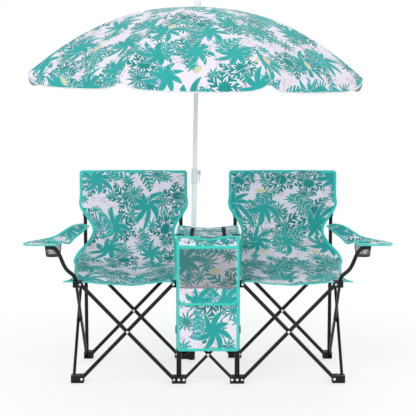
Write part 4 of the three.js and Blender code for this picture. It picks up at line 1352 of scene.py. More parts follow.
@dataclass
class CrossedFrame:
    """The folding frame: feet, posts, crossed tubes, brackets, sliders and arm posts, in millimetres."""

    shop: Workshop
    cross_span: float = 383
    cross_rise: float = 400
    centre_span: float = 200
    foot_rivet: float = 16
    foot_height: float = 30
    post_step: float = 20.5
    side_inset: float = 22
    side_step: float = 7
    cross_radius: float = 8
    slim_radius: float = 6.5
    tube_end: float = 7
    cross_plane: float = 8.5
    slim_plane: float = 7
    cross_wide: float = 19.9  # from a row to the face of a moulding, past a chair's X
    slim_wide: float = 16.9  # the same past a slim X
    slim_cheek: float = 9.9  # from a slim tube's middle to the face beside it
    post_cheek: float = 3.4  # from a post to the face of a moulding
    rear_cheek: float = 11.4  # from a rear outer post to the face beside it
    back_top: float = 832
    front_top: float = 604
    arm_foot: float = 430.3
    arm_reach: float = 119
    arm_rise: float = 136
    arm_out_shares: tuple = (0, 0, 0.06, 0.33, 0.55, 0.67, 0.82, 1)
    arm_up_shares: tuple = (0, 0.06, 0.15, 0.37, 0.8, 0.95, 1, 1)
    shelf: tuple = (581.0, 598.0)
    socket: tuple = ((11.6, 9.7), (11.6, 44.7), (12.1, 45.7), (14.9, 45.7), (15.5, 44.9), (15.5, 42.7),
                     (16.4, 41.7), (16.4, 37.7), (15.5, 36.7), (15.5, 9.7))

    def __post_init__(self) -> None:
        """Places the posts and the rivets."""
        self.inner_post = self.centre_span / 2 + self.post_step
        self.inner_rivet = self.inner_post + self.post_step
        self.outer_rivet = self.inner_rivet + self.cross_span
        self.outer_post = self.outer_rivet + self.post_step
        self.top_rivet = self.foot_rivet + self.cross_rise
        self.centre_top = self.foot_rivet + self.cross_rise * self.centre_span / self.cross_span

    def crossed(self, name: str, foot: Vector, top: Vector, radius: float, across: Vector | None) -> None:
        """Builds one tube of an X.

        Args:
            name: its node, which is its body too.
            foot: its lower rivet.
            top: its upper rivet.
            radius: the tube's radius.
            across: for the tube that carries the rivet, the way to its own face.
        """
        finishes = self.shop.finishes
        run = (top - foot).normalized() * self.tube_end * MM
        shell = Shell()
        shell.tube([(foot - run).lerp(top + run, share) for share in steps(6)], radius, finishes.tube)
        if across:
            middle = (foot + top) / 2
            turn = (-across).to_track_quat("Z", "Y").to_matrix().to_4x4()
            gap = Matrix.Translation(middle - across * (radius + 0.5) * MM) @ turn
            shell.turned([(0, -0.5), (7, -0.5), (7, 0.5), (0, 0.5)], finishes.moulding, 20, gap)
            near, far = (radius - 1) * MM, (3 * radius + 1.3) * MM
            heads = [(middle + across * near, across), (middle - across * far, -across)]
            self.shop.riveted(f"{name}_rivet", heads, name)
        self.shop.fit(shell.finished(f"{name}_tube"), name, "black_tube", name)

    def pair(self, name: str, side: Side, first: Sequence[tuple], second: Sequence[tuple], radius: float,
             across: Vector) -> None:
        """Builds both tubes of an X.

        Args:
            name: the start of their names.
            side: the side of the object.
            first: the lower and the upper rivet of the tube that carries the rivet, on the left side.
            second: those of the other tube.
            radius: their radius.
            across: the way to the first tube's own face.
        """
        for number, ends, way in ((1, first, across), (2, second, None)):
            self.crossed(f"{name}_{number}", *(side.to(at(*end)) for end in ends), radius, way)

    def crosses(self) -> None:
        """Builds all the crossed tubes."""
        low, high, top, half = self.foot_rivet, self.top_rivet, self.centre_top, self.centre_span / 2
        front, rear = FRONT.y + self.side_inset, REAR.y - self.side_inset
        inner, outer = -self.inner_rivet, -self.outer_rivet
        planes = (-self.slim_plane, self.slim_plane)
        near, far = (-(self.outer_post + self.side_step + step) for step in planes)
        for side in Side:
            for row in (FRONT, REAR):
                own, other = row.planes(self.cross_plane)
                self.pair(f"{side.word}_{row.name}_cross", side, [(inner, own, low), (outer, own, high)],
                          [(outer, other, low), (inner, other, high)], self.cross_radius, toward(y=row.out))
            self.pair(f"{side.word}_side_cross", side, [(near, rear, low), (near, front, high)],
                      [(far, front, low), (far, rear, high)], self.slim_radius, toward(x=-side.value))
        for row in (FRONT, REAR):
            own, other = row.planes(self.slim_plane)
            self.pair(f"centre_{row.name}_cross", Side.LEFT, [(-half, own, low), (half, own, top)],
                      [(half, other, low), (-half, other, top)], self.slim_radius, toward(y=row.out))

    def moulded(self, side: Side, name: str, heads: Sequence[tuple], body: str = "",
                shell: Shell | None = None, cuts: Sequence[tuple] = ()) -> None:
        """Builds a moulding from its node, with rivet heads on its faces.

        Args:
            side: the side of the object.
            name: the node's name after its side's word.
            heads: the x, y and z and the way out of each head, on the left side.
            body: the body that carries it, if it isn't the node's own.
            shell: what is joined to it.
            cuts: what is taken off the node's copy.
        """
        shell = shell or Shell()
        node = f"{side.word}_{name}"
        shell.cast(node, self.shop.finishes.moulding, cuts)
        self.shop.fit(shell.finished(f"{node}_moulding", 30.0), body or node, "black_plastic", node)
        placed = [(side.to(at(x, y, z)), side.to(out)) for x, y, z, out in heads]
        self.shop.riveted(f"{node}_rivets", placed, body or node)

    def post(self, x: float, row: Row, top: float) -> Shell:
        """Returns: a shell with a round post from a foot up."""
        shell = Shell()
        path = [at(x, row.y, height) for height in steps(8, self.foot_height - 2, top)]
        shell.tube(path, row.post_radius + 0.05, self.shop.finishes.tube)
        return shell

    def legs(self, side: Side) -> None:
        """Builds the feet of a side, with their posts."""
        moulding = self.shop.finishes.moulding
        top_off = (at(0, 0, self.foot_height + 0.5), UPWARD)
        low, outer = self.foot_rivet, -self.outer_rivet
        cheek = REAR.post_radius + self.post_cheek
        side_face = -(self.outer_post + self.side_step + self.slim_plane + self.slim_cheek)
        self.moulded(side, "front_outer_foot", [
            (outer, FRONT.y - cheek, low, AHEAD), (side_face, FRONT.y + self.side_inset, low, OUTWARD)
        ])
        self.moulded(side, "rear_outer_leg", [
            (outer, REAR.y + cheek, low, BEHIND),
            (-self.outer_post - self.rear_cheek, REAR.y - self.side_inset, low, OUTWARD),
        ], shell=self.post(side.value * self.outer_post, REAR, self.back_top), cuts=[top_off])
        across = (-self.inner_rivet, -self.inner_post, -self.centre_span / 2)
        heads = [(x, FRONT.y - self.cross_wide, low, AHEAD) for x in across]
        heads += [(x, FRONT.y + self.slim_wide, low, BEHIND) for x in across[::2]]
        post = self.post(side.value * self.inner_post, FRONT, self.front_top)
        self.moulded(side, "front_inner_leg", heads, shell=post, cuts=[top_off])
        post = self.post(side.value * self.inner_post, REAR, self.back_top)
        low_cut, high_cut = (at(0, 0, height) for height in self.shelf)
        post.cast(f"{side.word}_rear_inner_leg", moulding, [(low_cut, -UPWARD), (high_cut, UPWARD)])
        if side is Side.LEFT:
            post.turned(self.socket, moulding, 32, POLE, looped=True)
        heads = [(x, REAR.y + self.cross_wide, low, BEHIND) for x in across]
        heads.append((across[0], REAR.y - self.slim_wide, low, AHEAD))
        self.moulded(side, "rear_inner_leg", heads, side.rear_body, post, [top_off])

    def sliders(self, side: Side) -> None:
        """Builds the brackets and sliders of a side."""
        high, centre = self.top_rivet, -self.centre_span / 2
        outer, inner = -self.outer_rivet, -self.inner_rivet
        near_side = -(self.outer_post + self.slim_cheek)
        self.moulded(side, "front_outer_bracket", [
            (outer, FRONT.y - self.cross_wide, high, AHEAD),
            (near_side, FRONT.y + self.side_inset, high, OUTWARD),
        ])
        self.moulded(side, "rear_outer_slider", [
            (outer, REAR.y + self.cross_wide, high, BEHIND),
            (near_side - 2 * self.slim_plane, REAR.y - self.side_inset, high, OUTWARD),
        ])
        for row in (FRONT, REAR):
            way = toward(y=row.out)
            face = row.y + row.out * (row.post_radius + self.post_cheek)
            self.moulded(side, f"{row.name}_inner_slider", [
                (inner, face, high, way), (inner, row.y - row.out * self.cross_wide, high, -way)
            ])
            self.moulded(side, f"{row.name}_centre_slider", [
                (centre, row.y + out.y * self.slim_wide, self.centre_top, out) for out in (AHEAD, BEHIND)
            ])

    def arm_post(self, side: Side) -> None:
        """Builds the bent post that carries an armrest."""
        path = []
        for share in steps(36):
            out, up = along(self.arm_out_shares, share), along(self.arm_up_shares, share)
            place = at(-self.outer_post - out * self.arm_reach, FRONT.y, self.arm_foot + up * self.arm_rise)
            path.append(side.to(place))
        shell = Shell()
        shell.tube(path, self.cross_radius, self.shop.finishes.tube)
        plug = [path[-1] + (path[-1] - path[-2]).normalized() * reach * MM for reach in (-3, 0, 2.2)]
        shell.tube(plug, self.cross_radius + 0.4, self.shop.finishes.moulding, edge=1)
        node = f"{side.word}_arm_post"
        self.shop.fit(shell.finished(f"{node}_tube"), f"{side.word}_front_outer_bracket", "black_tube", node)

    def build(self) -> None:
        """Builds the frame."""
        self.crosses()
        for side in Side:
            self.legs(side)
            self.sliders(side)
            self.arm_post(side)


# The chairs' cloth


@dataclass
class Chair:
    """A chair's seat and back, armrest and cup holder, drawn on the left side, in millimetres."""

    shop: Workshop
    side: Side
    inner_post: float = 120.5
    outer_post: float = 544.5
    cloth: float = 3
    back_top: float = 844
    seat_height: float = 436
    overhang: float = 18
    seat_sag: float = 20
    back_sag: float = 14
    fold_depth: float = 5
    fold_count: int = 3
    sag_edge: float = 0.8
    seat_start: float = 0.15
    back_y: float = 30.2
    corner: float = 14
    split_y: float = -230  # where the seat's rear part meets its front part
    waist: float = 6.5 / 13  # the share along at which the back becomes the seat
    forward_shares: tuple = (0, 0, 0, 0, 0, 0.006, 0.02, 0.06, 0.15, 0.3, 0.5, 0.72, 0.9, 1)
    height_shares: tuple = (1, 0.87, 0.74, 0.6, 0.38, 0.24, 0.12, 0.035, 0, 0, 0, 0, 0, 0)
    outer_shares: tuple = (1.1, 1.1, 1.1, 1.1, 0.85, 0.93, 1.14, 1.23, 1.2, 1.16, 1.12, 1.08, 1.11, 1.27)
    inner_shares: tuple = (1.13, 1.13, 1.13, 1.13, 0.88, 0.89, 0.9, 0.92, 0.93, 0.93, 0.93, 0.93, 0.93, 0.93)
    sleeve_radius: float = 10.4
    armrest_height: float = 576.6
    armrest_cloth: float = 4
    armrest_reach: float = 215
    armrest_in: tuple = (-0.09, 0.0, 0.12, 0.21, 0.27, 0.3, 0.32, 0.33)
    armrest_out: tuple = (0.08, 0.22, 0.38, 0.5, 0.74, 0.94, 1, 0.92)
    armrest_forward: tuple = (0, 0.22, 0.39, 0.52, 0.65, 0.78, 0.92, 1)
    armrest_outer_lift: tuple = (31, 35, 20, 8, 1, 0, 0, 0)
    armrest_inner_lift: tuple = (21, 8, -8, -24, -11, -1, 0, 0)
    cup_radius: float = 35
    cup_depth: float = 54
    cup_x: float = -642.5
    cup_y: float = -321
    cup_top: float = 574.3
    cup_rim: tuple = ((34.2, -5), (34.2, 3.2), (35, 4.6), (37.5, 5.2), (40, 4.9), (40.4, 4.2), (36.4, 0),
                      (35.6, -5))
    cup_hoop: tuple = ((28.6, -53.6), (28.6, -50.6), (30.4, -50.6), (30.2, -53.6))
    keep: float = 0.32

    def __post_init__(self) -> None:
        """Names what most of its parts need."""
        self.half = (self.outer_post - self.inner_post) / 2
        self.middle = (self.outer_post + self.inner_post) / 2
        self.arm_body = f"{self.side.word}_front_outer_bracket"

    def corner_cut(self, depth: float) -> float:
        """Returns: how far a rounded corner draws in at a depth below the edge."""
        left = max(self.corner - depth, 0.0)
        return self.corner - math.sqrt(max(self.corner**2 - left**2, 0.0))

    def seat_point(self, u: float, v: float) -> Vector:
        """Finds the middle of the cloth.

        Args:
            u: from the outer edge to the inner.
            v: from the back's top to the seat's front.

        Returns:
            The point.
        """
        across = 2 * u - 1
        forward = along(self.forward_shares, v)
        height = blended(self.seat_height, self.back_top, along(self.height_shares, v))
        wide = self.half * along(self.outer_shares if across < 0 else self.inner_shares, v)
        front_y = FRONT.y - self.overhang
        y = blended(self.back_y, front_y, forward)
        wide -= self.corner_cut(self.back_top - height) + self.corner_cut(y - front_y)
        seat = eased(forward / (2 * self.seat_start))
        fold = self.fold_depth * math.cos(self.fold_count * math.pi * across) * (1 - forward)
        sag = eased(1 - abs(across) / self.sag_edge)
        place = at(across * wide - self.middle, y, height)
        own = self.side.value  # each chair creases in its own way
        slack = Vector((across * 3.1, v * 4.0, own * 5.0))
        crease = noise.noise(slack) * 3.2 + noise.noise(slack * 2.7) * 1.6
        pulled = math.exp(-(((v - 0.52) / 0.09) ** 2))
        streaks = math.sin(across * 19 + 2.2 * math.sin(across * 5 + own)) * 3.4 * pulled
        ruck = abs(noise.noise(Vector((across * 1.5, forward * 7.5, own * 3.0)))) * 17
        ruck += abs(noise.noise(Vector((across * 3.1, forward * 17.0, 7.0)))) * 8 - 5
        crease += ruck * seat * eased((1 - forward) * 4)
        droop = eased((forward - 0.72) / 0.28) * (9 - 6 * sag)
        place.y += (self.back_sag * sag * (1 - seat) + (crease * 0.5 + streaks) * (1 - seat) * sag) * MM
        place.z -= ((self.seat_sag + fold) * sag * seat + droop - (crease + streaks * 1.1) * seat * sag) * MM
        return self.side.to(place)

    def seat_place(self, u: float, v: float) -> Vector:
        """Returns: the flat cloth's own coordinates there, in metres."""
        across = (2 * u - 1) * self.half * 1.12 * MM * -self.side.value
        return Vector((across + 3.1 * (self.side.value + 2), -v * 0.905 + 0.37 * self.side.value, 0.0))

    def seat(self) -> None:
        """Builds the back and the two parts of the seat, each with its binding and seams."""
        word = self.side.word
        columns = [0, 0.006, 0.014] + steps(44, 0.03, 0.97) + [0.986, 0.994, 1]
        back_rows = [0.0, 0.0012, 0.004, 0.009, 0.016, 0.024, 0.034] + steps(38, 0.046, self.waist)
        front_edge = [1 - share for share in (0.022, 0.0145, 0.009, 0.005, 0.002, 0.0)]
        seat_rows = steps(40, self.waist, 1 - 0.034) + front_edge
        split = next(j for j, v in enumerate(seat_rows) if self.seat_point(0.5, v).y < self.split_y * MM)
        # The rows, the body, the post that it gathers to, the flat length and area less the cut corners
        parts = {
            "back": (back_rows, self.side.rear_body, self.inner_post, 0.452, 0.189),
            "seat_rear": (seat_rows[: split + 1], f"{word}_side_cross_2", self.outer_post, 0.262, 0.135),
            "seat_front": (seat_rows[split:], f"{word}_side_cross_1", self.outer_post, 0.19, 0.084),
        }
        for part, (rows, body, post, length, area) in parts.items():
            sheet = Sheet(self.seat_point, columns, rows, self.seat_place, toward(0, -1, 1))
            loops = sheet.sides() if part == "seat_rear" else [sheet.three_sides(part == "back")]
            shell, spots = self.shop.sheeted(sheet, loops, Tape(), self.cloth)
            crumple = Crumple("fold", (1.0, 0.0, 0.0), (self.side.value * post * MM, 0.0, 0.0), self.keep)
            self.shop.cloth(shell, f"{word}_{part}", body, f"{word}_seat_and_back", crumple, spots,
                            flat=(0.515, length), held="stretched", rests_on=[f"{word}_rear_outer_leg"],
                            area=area)

    def sleeves(self) -> None:
        """Builds the sleeves behind the back that hold it on its posts."""
        finishes, word = self.shop.finishes, self.side.word
        radius = self.sleeve_radius
        turns = [math.radians(angle) for angle in steps(12, -12, 192)]
        section = [(radius * math.cos(turn), radius * math.sin(turn)) for turn in turns]
        section += [(0.86 * x, 0.86 * y) for x, y in reversed(section)]
        ends = (("outer", self.outer_post, f"{word}_rear_outer_leg"),
                ("inner", self.inner_post, self.side.rear_body))
        for title, x, body in ends:
            rails = []
            for height in steps(26, 640, 835):
                swell = 1 + 0.035 * math.sin(height * 0.11) + 0.03 * noise.noise(Vector((x, height * 0.05, 0)))
                rails.append(Rail(self.side.to(at(-x, REAR.y, height)), toward(x=1), toward(y=1), swell))
            shell = Shell()
            shell.swept(rails, section, finishes.cloth)
            top = Matrix.Translation(self.side.to(at(-x, REAR.y, 834)))
            shell.turned([(0, 0), (10.6, 0), (radius, 2.2), (7, 3.6), (0, 3.9)], finishes.binding, 24, top)
            self.shop.fit(shell.finished(f"{word}_{title}_sleeve"), body, "printed_cloth")

    def armrest_point(self, u: float, v: float) -> Vector:
        """Returns: the middle of the armrest, from its outer edge to its inner and from the rear forward."""
        out = blended(along(self.armrest_out, v), along(self.armrest_in, v), u)
        y = blended(self.back_y - 2.1, FRONT.y - 8, along(self.armrest_forward, v))
        lift = blended(along(self.armrest_outer_lift, v), along(self.armrest_inner_lift, v), u)
        height = self.armrest_height + lift - 3 * math.sin(math.pi * u) * math.sin(math.pi * min(v * 1.6, 1))
        return self.side.to(at(-self.outer_post - out * self.armrest_reach, y, height))

    def armrest_place(self, u: float, v: float) -> Vector:
        """Returns: the armrest's flat coordinates, in metres."""
        out = blended(along(self.armrest_out, v), along(self.armrest_in, v), u) * self.armrest_reach * MM
        return Vector((out + 7.3 + self.side.value, along(self.armrest_forward, v) * 0.43, 0.0))

    def armrest(self) -> None:
        """Builds the armrest with its binding and the mouth of its cup holder."""
        rows = [0, 0.004, 0.012] + steps(44, 0.024, 0.976) + [0.988, 0.996, 1]
        columns = [0, 0.02, 0.05] + steps(16, 0.09, 0.91) + [0.95, 0.98, 1]
        sheet = Sheet(self.armrest_point, columns, rows, self.armrest_place, toward(z=1))
        mouth = (self.side.to(at(self.cup_x, self.cup_y, 0)), self.cup_radius + 1)
        shell, spots = self.shop.sheeted(sheet, [sheet.border()], Tape(9), self.armrest_cloth, True, hole=mouth)
        crumple = Crumple("fold", (0.0, 1.0, 0.0), (0.0, (FRONT.y - 8) * MM, 0.0), self.keep)
        node = f"{self.side.word}_armrest"
        self.shop.cloth(shell, node, self.arm_body, node, crumple, spots, flat=(0.235, 0.43), held="stretched",
                        rests_on=[f"{self.side.word}_arm_post"], area=0.0515)

    def cup(self) -> None:
        """Builds the net cup with its bound mouth and its floor."""
        finishes, word = self.shop.finishes, self.side.word
        place = Matrix.Translation(self.side.to(at(self.cup_x, self.cup_y, self.cup_top)))
        top, foot = self.cup_radius - 0.8, (self.cup_radius - 0.8) * 0.85
        depth = self.cup_depth - 1.2

        def wall(turn: float, share: float) -> Vector:
            """A point of the net, which bellies a little."""
            radius = blended(top, foot, share) + 1.1 * math.sin(math.pi * share)
            return place @ at(radius * math.cos(turn), radius * math.sin(turn), -depth * share)

        around, floor, lines = 54, 17, []
        for lean in (-0.9, 0.9):
            for start in (TAU * index / around for index in range(around)):
                lines.append([wall(start + lean * share, share) for share in steps(14)])
        for index in range(-floor, floor + 1):
            offset = index / floor * foot * 0.98
            reach = math.sqrt(max(foot**2 - offset**2, 0))
            if reach >= 3:
                lines.append([place @ at(end, offset, -depth) for end in (-reach, reach)])
                lines.append([place @ at(offset, end, -depth) for end in (-reach, reach)])
        mesh = self.shop.repeats.strands(lines, 0.45, finishes.dark_net)
        node = f"{word}_cup_holder"
        self.shop.fit(object_of(f"{node}_net", mesh), self.arm_body, "mesh_cloth", node)
        shell = Shell()
        shell.turned(self.cup_rim, finishes.binding, 40, place, looped=True)
        shell.turned(self.cup_hoop, finishes.webbing, 40, place, looped=True)
        self.shop.fit(shell.finished(f"{word}_cup_rim"), self.arm_body, "mesh_cloth")

    def build(self) -> None:
        """Builds the chair's cloth."""
        self.seat()
        self.sleeves()
        self.armrest()
        self.cup()


# The table and the cool bag


@dataclass
class Table:
    """The cloth table between the chairs, with its straps, zip and corner fittings, in millimetres."""

    shop: Workshop
    half_width: float = 131
    front_y: float = -422
    rear_y: float = 26
    front_height: float = 618
    rear_height: float = 599
    cloth: float = 6
    sag: float = 5
    split_y: float = -300
    hole_radius: float = 15
    hole_x: float = -62.8
    strap_x: float = 68
    strap_width: float = 17
    corner: float = 7
    zip_half: float = 37.5
    zip_depth: float = 7
    fitting_x: float = -115

    def height(self, x: float, y: float) -> float:
        """Returns: the height of the middle of the cloth at a place."""
        share = (y - self.front_y) / (self.rear_y - self.front_y)
        edge = abs(x / self.half_width)
        sag = self.sag * eased(1 - edge / 0.8) * (1 - share)
        sag += 7 * math.exp(-((x / 36) ** 2)) * (1 - share) ** 7
        sag += 9 * max(math.sin(math.pi * share), 0.0) ** 0.5 * eased(1.15 - edge)
        sag += 11 * share**3 * eased(1.12 - edge)
        uneven = noise.noise(Vector((x * 0.012, y * 0.012, 3.0))) * 1.6
        return blended(self.front_height, self.rear_height, share) - sag + uneven * eased(1.1 - edge)

    def over(self, x: float, y: float, lift: float) -> Vector:
        """Returns: a point so far above the middle of the cloth."""
        return at(x, y, self.height(x, y) + lift)

    def above(self, x: float, y: float, lift: float) -> Vector:
        """Returns: a point so far above the cloth's face."""
        return self.over(x, y, self.cloth / 2 + lift)

    def point(self, u: float, v: float) -> Vector:
        """Returns: the middle of the cloth, from left to right and from the front to the rear."""
        y = blended(self.front_y, self.rear_y, v)
        left = max(self.corner - min(y - self.front_y, self.rear_y - y), 0.0)
        wide = self.half_width - self.corner + math.sqrt(self.corner**2 - left**2)
        return self.over((2 * u - 1) * wide, y, 0)

    def place(self, u: float, v: float) -> Vector:
        """Returns: the flat cloth's own coordinates there, in metres."""
        return Vector(((2 * u - 1) * self.half_width * MM + 11.2, v * 0.448 - 2.3, 0.0))

    def build(self) -> None:
        """Builds the table."""
        depth = self.rear_y - self.front_y
        split, pole_share = (self.split_y - self.front_y) / depth, -self.front_y / depth
        ease = [0, 0.0012, 0.004, 0.009, 0.016]
        near_hole = (-1.3, -1, -0.7, -0.35, 0, 0.35, 0.7, 1, 1.3)
        hole = [0.98 * self.hole_radius / depth * step for step in near_hole]
        rear_rows = steps(44, split, pole_share - 0.055) + [pole_share + step for step in hole]
        rear_rows += [1 - share for share in reversed(ease[:-1])]
        columns = [0, 0.006, 0.016] + steps(58, 0.03, 0.97) + [0.984, 0.994, 1]
        front_body, binding = "left_front_inner_leg", self.shop.finishes.binding
        front_rows = ease + steps(22, 0.03, split)
        parts = {"front": (front_rows, front_body, 0.122), "rear": (rear_rows, "base", 0.326)}
        for part, (rows, body, length) in parts.items():
            sheet = Sheet(self.point, columns, rows, self.place, toward(z=1))
            shell, spots = self.shop.sheeted(
                sheet, [sheet.three_sides(part == "front")], Tape(10), self.cloth, both=False, rim=binding,
                hole=(at(self.hole_x, 0, 0), self.hole_radius),
            )
            for x in (-self.strap_x, self.strap_x):
                spots += self.strap(shell, x, *self.strap_ends(part, x))
            if part == "front":
                self.zip_tape(shell)
            else:
                self.hole_rim(shell)
            self.shop.cloth(shell, f"table_{part}", body, "table_top", GATHERED, spots, 45.0,
                            flat=(0.262, length), held="stretched", rests_on=["left_front_inner_leg"])
        teeth = evenly([(self.above(x, y, 1.2), UPWARD) for x, y in self.zip_line()], 2.1)
        mesh = self.shop.repeats.scattered(teeth, self.shop.tooth, self.shop.finishes.moulding)
        self.shop.fit(object_of("table_zip_teeth", mesh), front_body, "black_plastic", crumple=GATHERED)
        self.fittings()

    def strap_ends(self, part: str, x: float) -> tuple[float, float]:
        """Returns: where a strap runs on a part of the table; the left one stops at the pole's hole."""
        if part == "front":
            return self.front_y + 4, self.split_y
        return self.split_y, -(self.hole_radius + 8) if x < 0 else self.rear_y - 6

    def strap(self, shell: Shell, x: float, start: float, end: float) -> Spots:
        """Adds a webbing strap that runs back over the table.

        Args:
            shell: the table's shell.
            x: its place across.
            start: its front end.
            end: its rear end.

        Returns:
            The stitches along both of its edges.
        """
        rails = [Rail(self.above(x, y, 0.5), toward(x=1), UPWARD) for y in steps(30, start, end)]
        shell.swept(rails, rounded_section(self.strap_width, 1.5, 0.6, 2), self.shop.finishes.webbing)
        spots = []
        for edge in (-1, 1):
            inset = x + edge * (self.strap_width / 2 - 2)
            spots += evenly([(self.above(inset, y, 1.3), UPWARD) for y in steps(40, start, end)], 4.5)
        return spots

    def zip_line(self) -> Outline:
        """Returns: the zip's curve over the bag, in plan."""
        front = self.front_y + 13
        shares = steps(40, 0.0, math.pi)
        return [(-self.zip_half * math.cos(turn), front + self.zip_depth * math.sin(turn)) for turn in shares]

    def zip_tape(self, shell: Shell) -> None:
        """Adds the zip's two tapes, its slider and its pull."""
        webbing, steel = self.shop.finishes.webbing, self.shop.finishes.steel
        line = self.zip_line()
        x, y = line[4]
        tapes = path_rails([self.above(*spot, 0.4) for spot in line], UPWARD)
        slider = path_rails([self.above(x, y + step, 2.2) for step in (-5, -4, 4, 5)], UPWARD, 0.75)
        pull = [self.above(x, y - 4 - step, 3.4 - step * 0.05) for step in (0, 1, 18, 19)]
        shell.swept(tapes, rounded_section(13, 1.2, 0.5, 1), webbing)
        shell.swept(slider, rounded_section(8, 3.6, 1.2, 2), steel)
        shell.swept(path_rails(pull, UPWARD, 0.7), rounded_section(5, 1.4, 0.6, 2), steel)

    def hole_rim(self, shell: Shell) -> None:
        """Adds the bound rim of the pole's hole."""
        rails = []
        for turn in steps(40)[:-1]:
            out = toward(math.cos(TAU * turn), math.sin(TAU * turn))
            x, y = self.hole_x + out.x * self.hole_radius, out.y * self.hole_radius
            rails.append(Rail(self.over(x, y, 0), out, UPWARD))
        shell.swept(rails, Tape(7.5).section(self.cloth), self.shop.finishes.binding, closed=True)

    def fittings(self) -> None:
        """Builds the fittings that hold the table's front corners on their posts."""
        y, top = self.front_y + 15, self.front_height + self.cloth / 2
        for side in Side:
            rows = [(-12, 0.86), (-11, 0.96), (-9, 1.0), (9, 1.0), (11, 0.96), (12, 0.86)]
            rails = [
                Rail(side.to(at(self.fitting_x, y + step, top + 2.0)), toward(x=1), UPWARD, size)
                for step, size in rows
            ]
            shell = Shell()
            shell.swept(rails, rounded_section(37, 5, 2, 4), self.shop.finishes.moulding)
            name, body = f"{side.word}_table_fitting", f"{side.word}_front_inner_leg"
            self.shop.fit(shell.finished(name, 40.0), body, "black_plastic")
            heads = [(side.to(at(self.fitting_x + step, y, top + 4.4)), UPWARD) for step in (-11, 11)]
            self.shop.riveted(f"{name}_rivets", heads, body, 4)


@dataclass(frozen=True)
class Hanging:
    """A panel that hangs with its lower corners rounded, in millimetres."""

    half: float
    top: float
    bottom: float
    corner: float

    def spread(self, u: float, v: float) -> tuple[float, float]:
        """Returns: x and z, from left to right and from the top down."""
        z = blended(self.top, self.bottom, v)
        left = max(self.corner - (z - self.bottom), 0.0)
        return (2 * u - 1) * (self.half - self.corner + math.sqrt(max(self.corner**2 - left**2, 0.0))), z


